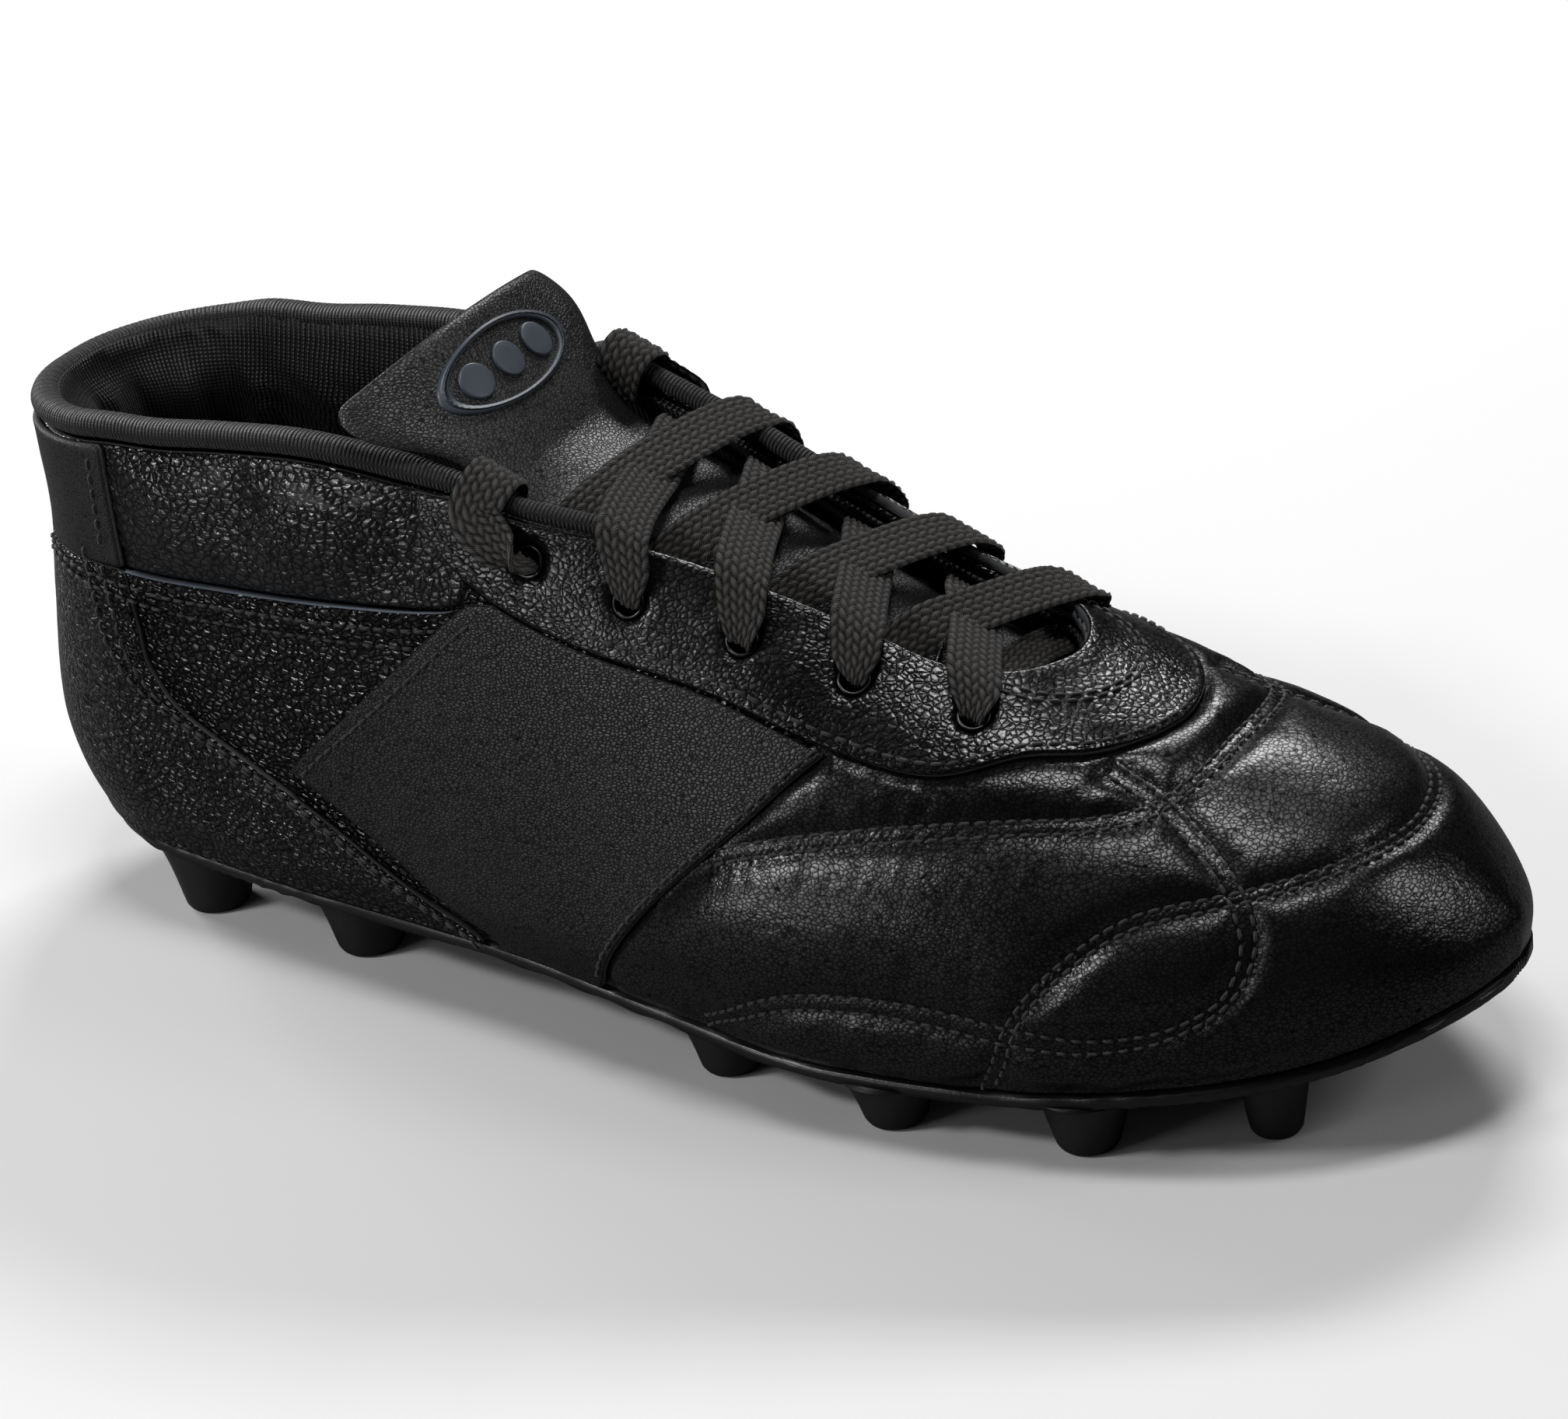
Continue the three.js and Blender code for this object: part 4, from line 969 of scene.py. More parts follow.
# ---------- stitched lines of the vamp ----------
BEND = [
    (154.5, -43, 39.5),
    (163, -42, 47),
    (178, -40, 52),
    (192, -37.5, 55),
    (206, -34, 57),
    (218, -30, 58),
    (230.6, -25.6, 58.7),
    (239, -19, 59.7),
    (243.5, -8, 62),
    (244.5, 4.4, 63),
]
LOOP = [
    (230.4, -16, 64.3),
    (241, -17.5, 59.7),
    (249.6, -21, 54),
    (256.6, -24.5, 48.7),
    (259.6, -28.7, 41),
    (257, -33, 34),
    (248.7, -37, 29),
    (236, -41, 26),
    (223, -44, 26.4),
    (209, -45.6, 28),
    (194.5, -46.8, 28),
    (179, -47.7, 25.4),
    (159.5, -43, 15),
]
TOE_ARC = [
    (216.5, -42.7, 14),
    (221.5, -44.4, 25.4),
    (225.6, -42.5, 32.8),
    (233, -38, 41),
    (241, -33.4, 46),
    (252, -26.8, 48.4),
    (259.7, -22, 49.7),
    (267.7, -14.7, 51),
    (273.5, -4, 51.6),
    (275.7, 5.7, 51.6),
]


def whole_line(half):
    """A line over the boot from its outer half."""
    return through(to_pattern(np.vstack([np.array(half, float), mirrored(half)[:-1][::-1]])))


ROW_GAP = 1.7  # the quilting is sewn in double rows, this far each side of its line
QUILT = [
    whole_line(BEND),
    whole_line(TOE_ARC),
    through(to_pattern(np.array(LOOP, float))),
    through(to_pattern(mirrored(LOOP))),
]
ROWS = [beside(line, gap) for line in QUILT for gap in (-ROW_GAP, ROW_GAP)]
RIM_LINE = eyestay_rim()
EYESTAY = eyestay_outline()
SADDLE_SHAPE = {side: saddle_outline(side) for side in SIDES}
COUNTER_SHAPE = counter_outline()
TAB_SHAPE = tab_outline()


# ---------- heights of the layers above the last ----------
def covered(uv, *shapes):
    hit = np.zeros(len(uv), bool)
    for shape in shapes:
        hit |= inside(shape, uv)
    return hit


def beneath(uv, *others):
    return covered(uv, EYESTAY, *SADDLE_SHAPE.values(), *others)


def near(uv, *lines):
    return distance(base(uv), base(np.vstack([line[::2] for line in lines])))


SOLE = np.vstack([sole_line(side, *SOLE_ENDS) for side in SIDES])
SADDLE_FRONTS = [on_line(side, SADDLE_FRONT) for side in SIDES]
UNDER = -0.2  # height of a piece where another one covers it
OVERLAY_TOP, SEWN_TOP = 1.45, 1.5  # heights of the overlays and of the thread on them
OVERLAY_LOW = 0.02

CLOTH_SCALE, CLOTH_FRAMES = 10, 20  # the cloth runs at ten times its size
AIR_PRESSURE = 5
COLLAR_PUFF, COLLAR_GROWTH, COLLAR_STIFF = 2.3, 0.06, 0.4
VAMP_PUFF, VAMP_GROWTH, VAMP_STIFF = 1.8, 0.003, 2.0
BLOWN = {}  # what the cloth simulation found: piece -> (pattern points, rise in millimetres)


def blow_up(key, outline, pinned, highest, spacing, growth, stiff):
    """Simulates a piece of soft leather pinned along its seams with padding pressing from inside."""
    uv, faces = triangulate([resample(outline, spacing * 0.9, closed=True)], [], spacing)
    rest, out = base(uv), normal(uv)
    mesh = bpy.data.meshes.new("cloth")
    mesh.from_pydata((rest * MM * CLOTH_SCALE).tolist(), [], faces.tolist())
    obj = linked("cloth", mesh)
    a, b, c = faces.T
    facing = (np.cross(rest[b] - rest[a], rest[c] - rest[a]) * out[a]).sum()
    held = pinned(uv) | (distance(rest, base(resample(outline, 0.8, closed=True))) < spacing * 0.5)
    group = obj.vertex_groups.new(name="pins")
    group.add(np.flatnonzero(held).tolist(), 1.0, "REPLACE")
    cloth = obj.modifiers.new("cloth", "CLOTH")
    settings = cloth.settings
    settings.quality = 6
    settings.mass = 0.25
    settings.tension_stiffness = settings.compression_stiffness = 12
    settings.shear_stiffness = 6
    settings.bending_stiffness = stiff
    settings.vertex_group_mass = "pins"
    settings.shrink_min = -growth
    settings.use_pressure = True
    settings.uniform_pressure_force = AIR_PRESSURE if facing > 0 else -AIR_PRESSURE
    settings.effector_weights.gravity = 0
    cloth.point_cache.frame_start, cloth.point_cache.frame_end = 1, CLOTH_FRAMES
    scene = bpy.context.scene
    for step in range(CLOTH_FRAMES):
        scene.frame_set(step + 1)
    shape = obj.evaluated_get(bpy.context.evaluated_depsgraph_get()).data
    moved = np.empty(len(shape.vertices) * 3, np.float32)
    shape.vertices.foreach_get("co", moved)
    rise = ((moved.reshape(-1, 3) / (MM * CLOTH_SCALE) - rest) * out).sum(1)
    scene.frame_set(1)
    bpy.data.objects.remove(obj)
    bpy.data.meshes.remove(mesh)
    rise *= highest / max(np.percentile(rise, 97), 0.3)
    BLOWN[key] = uv, np.clip(rise, -0.3, highest * 1.2)


def blown(key, uv):
    """The simulated rise at pattern points, from the nearest simulated ones."""
    known, rise = BLOWN[key]
    p, q = base(uv), base(known)
    out = np.empty(len(uv))
    for i in range(0, len(uv), 800):
        gap = ((p[i : i + 800, None] - q[None]) ** 2).sum(-1)
        closest = np.argpartition(gap, 9, axis=1)[:, :9]
        weight = 1 / (np.take_along_axis(gap, closest, 1) + 3.0) ** 1.5
        out[i : i + 800] = (rise[closest] * weight).sum(1) / weight.sum(1)
    return out


def vamp_top(uv):
    """Padded leather, puffed between its stitched lines and flat under the overlays."""
    gap = near(uv, *ROWS, RIM_LINE, *SADDLE_FRONTS)
    if "vamp" in BLOWN:
        puff = 0.9 * (1 - np.exp(-gap / 1.5)) + blown("vamp", uv) * smooth(gap, 0, 2)
    else:
        puff = 1.1 * (1 - np.exp(-gap / 1.5)) + 1.1 * (1 - np.exp(-((gap / 6.5) ** 2)))
    ease = smooth(near(uv, SOLE), 0, 7)
    return np.where(beneath(uv), UNDER, puff * (0.45 + 0.55 * ease) - 0.15)


def quarter_top(uv):
    """The quarter's upper edge laps over the collar panel."""
    lap = near(uv, *COLLAR_LINE.values())
    return np.where(beneath(uv, COUNTER_SHAPE), UNDER, 1.3 * (1 - smooth(lap, 3, 9)))


def collar_top(uv):
    """Leather over foam: it swells between the seam and the binding, with shallow creases along it."""
    p = base(uv)
    x, z = p[:, 0], p[:, 2]
    seam = near(uv, *COLLAR_LINE.values())
    top = near(uv, OPENING)
    swell = 2.4 * (1 - np.exp(-((seam / 6) ** 1.6))) * (1 - np.exp(-(((top + 0.6) / 5) ** 1.6)))
    crease = np.sin(z * 1.15 + 1.6 * np.sin(x * 0.11) + 0.8 * np.sin(x * 0.31 + z * 0.2))
    fade = smooth(x, 45, 80) * np.exp(-(((z - 96) / 9) ** 2))
    under = covered(uv, EYESTAY, TAB_SHAPE)
    for side in SIDES:
        if side in BLOWN:
            rise = blown(side, uv) * smooth(np.minimum(seam, top), 0, 2.5)
            swell = np.where(p[:, 1] * side > 0, rise * 1.1 + 0.15 * swell, swell)
    flat_edge = smooth(near(uv, RIM_LINE, TAB_SHAPE), 0, 6)
    return np.where(under, UNDER, (swell * 0.8 + 0.28 * crease * fade) * flat_edge)


def stay_top(uv):
    """The eyestay rises a little towards its folded inner edge."""
    edge = near(uv, OPENING)
    return SEWN_TOP + 0.5 * np.exp(-((edge / 3) ** 2)) * smooth(base(uv)[:, 0], 100, 125)


def flat_at(height):
    return lambda uv: np.full(len(uv), float(height))


def fill_at(uv):
    """What lies between leather and lining: foam at the collar, stiffeners at the heel and toe."""
    x, z = base(uv)[:, 0], base(uv)[:, 2]
    foam = 3.8 * smooth(z, SEAM_Z - 3, SEAM_Z + 7) * (1 - smooth(x, 88, 106))
    counter = 1.6 * (1 - smooth(z, 60, 72)) * (1 - smooth(x, 62, 84))
    puff = 1.2 * smooth(x, 248, 262)
    return np.maximum.reduce([foam, counter, puff, np.full(len(uv), 0.4)])


def around_collar(p):
    """Millimetres round the ankle from the middle of the heel, below zero on the outer side."""
    turn = np.arctan2(np.abs(p[:, 1]) * 1.1, HEEL_R - p[:, 0])
    along = np.where(p[:, 0] < HEEL_R, turn * HEEL_R, HEEL_R * math.pi / 2 + p[:, 0] - HEEL_R)
    return np.sign(p[:, 1]) * along


def lining_inner(uv):
    """The lining's inner face: rolled up to the binding, bulging over the foam, with soft upright folds."""
    p = base(uv)
    s = around_collar(p)
    folds = np.sin(s * 0.3 + 0.9 * np.sin(s * 0.13)) + 0.5 * np.sin(s * 0.67 + 1.3)
    band = smooth(p[:, 2], 40, 66) * (1 - smooth(p[:, 2], 90, 99)) * (1 - smooth(p[:, 0], 60, 105))
    bulge = 0.8 * np.exp(-(((p[:, 2] - 90) / 7) ** 2)) * (1 - smooth(p[:, 0], 88, 106))
    deep = -LEATHER - 2 * GAP - fill_at(uv) - LINING - bulge - 1.1 * band * (folds + 1.2)
    roll = (1 - smooth(distance(p, base(MOUTH[::2])), 0, 9)) * (1 - smooth(p[:, 0], 98, 110))
    return deep * (1 - roll) - 4.2 * roll


def lining_mouth():
    """The lining's upper edge: it reaches up behind the binding round the ankle."""
    p = base(OPENING)
    p[:, 2] += 4.6 * (1 - smooth(p[:, 0], 94, 108))
    return to_pattern(p)


MOUTH = lining_mouth()


# ---------- thread ----------
def stitches(name, rows, slot):
    """Lock stitches along rows of (points, normals) on the surface."""
    share = np.linspace(-1, 1, 7)
    fat = STITCH_R * np.sqrt(1 - 0.92 * share**4)
    corners = 6
    one = ring_faces(len(share), corners)
    points, faces, start = [], [], 0
    for line, out in rows:
        run = run_of(line)
        for middle in np.arange(STITCH_PITCH * 0.6, run[-1] - STITCH_PITCH * 0.5, STITCH_PITCH):
            centre = interpolated(middle + share * STITCH_LENGTH / 2, run, line)
            up = unit(interpolated(middle, run, out))
            along = unit(centre[-1] - centre[0])
            centre = centre + up * (0.2 - 0.42 * share[:, None] ** 4)
            points.append(circles(centre, fat[:, None], (np.cross(up, along), up), corners).reshape(-1, 3))
            faces += [[start + k for k in face] for face in one]
            start += len(share) * corners
    finished(make(name, np.vstack(points), faces, [THREAD]), "boot", slot)


def laid(line, top, gap=0.0):
    """A row beside a pattern line, on a layer whose height is top(uv)."""
    uv = resample(beside(line, gap), 0.6)
    return place(uv, top(uv)), normal(uv)


def laid_inside(line, shape, top, gap):
    """A row beside a line, on whichever side of it the given shape lies."""
    hits = [inside(shape, beside(line, sign * 1.5)).sum() for sign in (-1, 1)]
    return laid(line, top, gap if hits[1] > hits[0] else -gap)


def visible(line, *shapes):
    """The longest stretch of a line that lies under none of the shapes."""
    keep = ~covered(line, *shapes)
    best, start = (0, 0), 0
    for i in range(len(keep) + 1):
        if i == len(keep) or not keep[i]:
            if i - start > best[1] - best[0]:
                best = (start, i)
            start = i + 1
    return line[best[0] : best[1]]


# ---------- the upper ----------
def simulate():
    """Cloth runs for the collar pads and the quilted vamp."""
    for side in SIDES:
        held = lambda uv: covered(uv, EYESTAY, TAB_SHAPE)
        blow_up(side, collar_outline(side), held, COLLAR_PUFF, 2.1, COLLAR_GROWTH, COLLAR_STIFF)
    held = lambda uv: beneath(uv) | (near(uv, *ROWS) < 1.1)
    blow_up("vamp", vamp_outline(), held, VAMP_PUFF, 2.3, VAMP_GROWTH, VAMP_STIFF)


def overlay(name, node, shape, face, slot="smooth_leather", top=flat_at(OVERLAY_TOP), holes=(), spacing=2.2):
    """A piece sewn on top of the others."""
    piece = panel(name, shape, flat_at(OVERLAY_LOW), top, [face, RAW], holes, spacing=spacing)
    finished(piece, "boot", slot, node)


def make_quarter(side, name):
    """A quarter. Its cut edge shows pale only where it laps over the collar panel."""
    low, faces = flat_at(-LEATHER), [GRAIN, RAW_BLUE]
    piece = panel(name + "_grain", quarter_outline(side), low, quarter_top, faces, HOLES, spacing=2.2)
    for face in piece.data.polygons:
        at_seam = face.center.x / MM - HEEL[0] < 114 and SEAM_Z - 3 < face.center.z / MM < SEAM_Z + 9
        if not at_seam:
            face.material_index = 0
    finished(piece, "boot", "grain_leather", name)


def make_upper():
    low = flat_at(-LEATHER)
    vamp = panel("vamp_padded", vamp_outline(), low, vamp_top, [VAMP, RAW], HOLES, ROWS, spacing=1.6)
    finished(vamp, "boot", "grain_leather", "vamp")
    for side, name in SIDES.items():
        make_quarter(side, f"quarter_{name}")
        outline = collar_outline(side)
        collar = panel(f"collar_{name}_padded", outline, low, collar_top, [COLLAR, RAW], spacing=1.5)
        finished(collar, "boot", "grain_leather", f"collar_panel_{name}", f"collar_foam_{name}")
        overlay(f"saddle_{name}_overlay", f"saddle_{name}", SADDLE_SHAPE[side], SADDLE)
    overlay("eyestay_overlay", "eyestay", EYESTAY, STAY, "grain_leather", stay_top, HOLES, 1.8)
    overlay("counter_cover_overlay", "counter_cover", COUNTER_SHAPE, COUNTER, spacing=2.4)
    overlay("heel_tab_overlay", "heel_tab", TAB_SHAPE, TAB)


def make_lining():
    rim = resample(both_sides(lambda side: sole_line(side, *SOLE_ENDS)), 2.0, closed=True)
    mouth = resample(MOUTH, 1.2, closed=True)
    uv, faces = triangulate([rim, mouth], [resample(OPENING, 1.4, closed=True)], 2.0)
    inner = lining_inner(uv)
    points = np.vstack([place(uv, np.minimum(inner + LINING, -LEATHER - 2 * GAP)), place(uv, inner)])
    sheet, walls = two_faced(faces, len(uv))
    rib = np.column_stack([around_collar(base(uv)), base(uv)[:, 2]])
    obj = make("lining_textile_sock", points, sheet + walls, [TEXTILE], np.vstack([rib, rib]))
    finished(obj, "boot", "lining_textile", "lining")


def stitch_upper():
    sewn = flat_at(SEWN_TOP)
    shown = [visible(line, EYESTAY, *SADDLE_SHAPE.values()) for line in QUILT]
    rows = [laid(line, vamp_top, gap) for line in shown for gap in (-ROW_GAP, ROW_GAP)]
    stitches("vamp_stitching", rows, "grain_leather")

    front = [(205, -17.5), (216, -14.5), (222.5, -8.5), (225, 0), (222.5, 8.5), (216, 14.5), (205, 17.5)]
    throat = through(tops([(x, STAY_MIDDLE + y) for x, y in front]))
    rows = [laid_inside(RIM_LINE, EYESTAY, sewn, 2.3), laid(throat, sewn), laid(throat, sewn, 1.9)]
    stitches("eyestay_stitching", rows, "grain_leather")

    rows = []
    for side, shape in SADDLE_SHAPE.items():
        rows += [laid_inside(on_line(side, line), shape, sewn, 1.9) for line in (SADDLE_BACK, SADDLE_FRONT)]
        edge, heel = on_line(side, COUNTER_EDGE), on_line(side, raised(HEEL_LINE, -0.25))
        rows += [laid_inside(line, COUNTER_SHAPE, sewn, gap) for line in (edge, heel) for gap in (1.9, 4.1)]
        tab_front = on_line(side, [(BACK_X - 0.8, z) for z in (SEAM_Z + 2, 84, 91, 97)])
        rows.append(laid_inside(tab_front, TAB_SHAPE, sewn, 1.2))
    stitches("overlay_stitching", rows, "smooth_leather")

    rows = []
    for side, line in COLLAR_LINE.items():
        seam = visible(line, EYESTAY, COUNTER_SHAPE, TAB_SHAPE)
        rows += [laid_inside(seam, quarter_outline(side), quarter_top, gap) for gap in (1.9, 4.2)]
    stitches("collar_seam_stitching", rows, "grain_leather")


# ---------- collar binding ----------
def make_binding():
    """A rolled rib-knit edge round the ankle that runs a little way down both sides of the throat."""
    keep = opening_part(lambda p: p[:, 0] < np.where(p[:, 1] > 0, 160, 142))
    uv = resample(keep, 0.3)
    edge, out = base(uv), normal(uv)
    along = np.gradient(edge, axis=0)
    soft = np.ones(41) / 41
    along = np.stack([np.convolve(np.pad(axis, 20, mode="edge"), soft, "valid") for axis in along.T], -1)
    up = unit(np.cross(out, unit(along)))
    if up[len(up) // 2, 2] < 0:
        up = -up
    thin = smooth(edge[:, 0], 98, 116)
    radius = BINDING_R * (1 - thin * (1 - BINDING_THIN))
    centre = edge + up * (radius + 0.6)[:, None] + out * (-1.6 + 1.3 * thin)[:, None]
    at = run_of(centre)
    corners, rib_pitch = 22, 1.25
    angle = full_turn(corners)[None]
    ribs = np.abs(np.sin(math.pi * (at[:, None] + 0.5 * np.sin(angle)) / rib_pitch))
    ribbed_radius = radius[:, None] * (1 + 0.03 * ribs + 0.06 * np.cos(2 * angle))
    rings = circles(centre, ribbed_radius, (out, up), corners)
    ends = smooth(at, 0, 2.5) * smooth(at[-1] - at, 0, 2.5)
    rings = centre[:, None] + (rings - centre[:, None]) * (0.35 + 0.65 * np.sqrt(ends))[:, None, None]
    uv_map = np.stack(np.broadcast_arrays(at[:, None], angle * BINDING_R), -1).reshape(-1, 2)
    finished(swept("collar_binding_knit", rings, KNIT, uv_map), "boot", "knit", "collar_binding")


# ---------- tongue ----------
HINGE = np.array([119, 0, 100.3])
FLAP_RISE = math.radians(50.5)
FLAP_LENGTH = 31.5
flap_half = curve([0, 5, 10, 15, 20, 26, 29.5, FLAP_LENGTH], [20.5, 21.3, 22.5, 24.5, 28, 30, 29.8, 27.5])
# The flap bows down towards its edges, further on the outer side.
flap_bow_outer = curve([0, 10, 20, FLAP_LENGTH], [3.4, 4.2, 8.6, 13.2])
flap_bow_inner = curve([0, 10, 20, FLAP_LENGTH], [2.6, 1.5, 2.6, 5.6])


def tongue_crest(x):
    edge = on_top(x, centre_y(x) + throat_half(x))[..., 2]
    under = on_top(x, centre_y(x))[..., 2] - 7.6
    dip = 2.8 - 1.5 * (1 - smooth(x, HINGE[0], 140))
    t = smooth(x, 188, 203)
    return (edge - dip) * (1 - t) + under * t


def flap_point(s, y, h):
    up = np.array([-math.cos(FLAP_RISE), 0, math.sin(FLAP_RISE)])
    out = np.array([math.sin(FLAP_RISE), 0, math.cos(FLAP_RISE)])
    bow = (flap_bow_outer(s) if y < 0 else flap_bow_inner(s)) * (y / 28) ** 2
    return HINGE + np.array([-0.4, 0, 0]) + np.array([0, 1, 0]) * y + up * s + out * (h - bow)


def lower_row(x, share):
    """A point of the lower tongue's outer face: share runs across it from -1 to 1."""
    middle = centre_y(x)
    half = throat_half(x) + 4 + 2.5 * smooth(x, 120, 200)
    drop = TONGUE_TOP + 1.6 * smooth(x, 205, 222)
    side = -1 if share < 0 else 1
    rim_uv = to_pattern(on_top(x, middle + side * throat_half(x)))
    rim = base(rim_uv) + normal(rim_uv) * drop
    far_uv = to_pattern(on_top(x, middle + side * half))
    far = base(far_uv) + normal(far_uv) * drop
    crest = np.array([x, middle, tongue_crest(x)])
    split = 0.82
    a = abs(share)
    if a <= split:
        t = a / split
        p = crest * (1 - t) + rim * t
        p[2] += (crest[2] - rim[2]) * 0.8 * t * (1 - t)
        return p
    t = (a - split) / (1 - split)
    return rim * (1 - t) + far * t


def make_tongue():
    """One padded leather tongue: it lies under the laces and its free top stands up from them."""
    shares = np.linspace(-1, 1, 23)
    rows = []
    for s in (FLAP_LENGTH, 30.6, 28.5, 25, 21.5, 18, 14.5, 11, 7.5, 4.5, 2.2):
        rows.append([flap_point(s, c * flap_half(s), 0.0) for c in shares])
    for x in (122.5, 126, 131, 137, 144, 152, 160, 168, 176, 184, 192, 199, 206, 213, 220, 227):
        rows.append([lower_row(float(x), c) for c in shares])
    top = np.array(rows)
    out = unit(np.cross(np.gradient(top, axis=1), np.gradient(top, axis=0)))
    if out[5, 11, 2] < 0:
        out = -out
    r, c = top.shape[:2]
    column, row = np.arange(c), np.arange(r)[:, None]
    edge = np.minimum(np.minimum(column, column[::-1]), row * 1.4)
    plump = np.sqrt(np.clip(edge / 1.6, 0, 1))
    top_face = top - out * (0.9 * (1 - plump))[..., None]
    back = top - out * (0.9 + (TONGUE_T * 0.9 - 0.9) * (0.35 + 0.65 * plump))[..., None]
    points = np.vstack([top_face.reshape(-1, 3), back.reshape(-1, 3)])
    sheet, walls = two_faced(grid_faces(r, c), r * c)
    obj = subdivided(outward(make("tongue_leather_pad", points, sheet + walls, [TONGUE])), 3)
    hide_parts("tongue_lower", "tongue_flap")
    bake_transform(obj)
    return obj


def raised_plate(name, middle, radii, height=0.8, hole=0.0, corners=48):
    """A raised ring or oval on the flap, with rounded edges. hole is the open share of its radius."""
    turn = full_turn(corners)
    outer = [(1.0, -0.6), (1.0, height * 0.55), (0.97, height * 0.9), (0.9, height)]
    if hole:
        inner = [(hole + 0.1, height), (hole + 0.03, height * 0.9), (hole, height * 0.55), (hole, -0.6)]
    else:
        inner = [(0.5, height), (0.02, height)]
    rings = []
    for share, h in outer + inner:
        up_flap = middle[0] + radii[0] * share * np.sin(turn)
        across = middle[1] + radii[1] * share * np.cos(turn)
        rings.append([flap_point(a, b, h) for a, b in zip(up_flap, across)])
    return swept(name, np.array(rings), PRINT, closed=hole > 0)


def make_badge():
    ring = raised_plate("tongue_badge_ring", (20.0, 0), (7.4, 17.5), hole=0.86)
    finished(ring, "tongue_top", "badge", "tongue_badge")
    for k, y in enumerate((-9.2, 0, 9.2)):
        dot = raised_plate(f"tongue_badge_dot_{k + 1}", (20.0, y), (3.5, 3.5), height=0.7, corners=32)
        finished(dot, "tongue_top", "badge")


# ---------- lace ----------
OUTSIDE = GAP + OVERLAY + 0.5 + LACE_T / 2 + 0.25
INSIDE = -LEATHER - 2 * GAP - 0.4 - LINING - LACE_T / 2 - 0.8
FORE = np.array([1, 0, -0.42])  # the way the lace's width points
LACE_STEP = 0.42
LACE_END_X = 116.0  # where its ends cross the collar's binding
COLUMNS, PLAITS, BEAT = 30, 7, 2.1  # points and plaits across the lace, and the pitch of the plaits


# A lace path is a list of (point, share of the full width).


def lifted(p, h):
    return p + normal(to_pattern(p)) * h


def over_throat(x, y, h):
    edge = on_top(x, centre_y(x) + (1 if y >= 0 else -1) * throat_half(x))
    return np.array([x, centre_y(x) + y, edge[2] + h])


def through_hole(k, side):
    hole = hole_at(k, side)
    return [(lifted(hole, -3.4), 0.3), (lifted(hole, 0.0), 0.32), (lifted(hole, OUTSIDE - 0.6), 0.5)]


def lace_crossing(k, side, over):
    """Out of a hole on one side, over the throat, under the far edge and up to the next hole."""
    start, end = HOLE_X[k], HOLE_X[k + 1]
    part = lambda t: start + (end - start) * t
    at = lambda t, y: on_top(part(t), centre_y(part(t)) + y)
    return through_hole(k, side) + [
        (lifted(at(0.03, side * (HOLE_Y[k] - 2.2)), OUTSIDE + 0.5), 0.85),
        (lifted(at(0.15, side * (throat_half(start) - 0.5)), 3.3), 1.0),
        (over_throat(part(0.5), 0, 2.2 if over else 0.4), 1.0),
        (over_throat(part(0.74), -side * (throat_half(end) - 9), 0.2 if over else -0.8), 1.0),
        (lifted(at(0.9, -side * (throat_half(end) + 0.5)), INSIDE), 0.75),
        (lifted(at(1, -side * (HOLE_Y[k + 1] - 1.2)), INSIDE), 0.4),
    ]


def lace_end(side):
    """From the top hole over the collar's corner and into the boot."""
    corner = on_top(LACE_END_X, centre_y(LACE_END_X) + side * throat_half(LACE_END_X))
    place_on = np.argmin(((base(OPENING) - corner) ** 2).sum(-1))
    nearest, ahead = OPENING[place_on], OPENING[(place_on + 3) % len(OPENING)]
    out = normal(nearest)
    up = np.cross(out, unit(base(ahead) - base(nearest)))
    up = up if up[2] > 0 else -up
    radius = BINDING_R * 0.75
    centre = base(nearest) + up * (radius + 0.6) - out * 0.8
    reach = radius + LACE_T / 2 + 1.2
    around = lambda o, u: centre + out * o * reach + up * u * reach
    return through_hole(4, side) + [
        (lifted(on_top(HOLE_X[4] - 2.2, side * (HOLE_Y[4] - 0.2)), OUTSIDE + 0.7), 0.85),
        (around(1.25, -0.9), 1.0),
        (around(1.05, 0.45), 1.0),
        (around(0.2, 1.15), 1.0),
        (around(-0.8, 0.9), 0.95),
        (around(-1.6, -0.6), 0.9),
    ]


def lace_path():
    def strand(side):
        points = []
        for k in range(4):
            start = -side if k % 2 else side
            points += lace_crossing(k, start, start > 0)
        return points + lace_end(side)

    x = HOLE_X[0]
    bar = [(lifted(on_top(x, centre_y(x) + y), INSIDE - 0.45), 0.75) for y in (14, 0, -14)]
    return strand(1)[::-1] + bar + strand(-1)


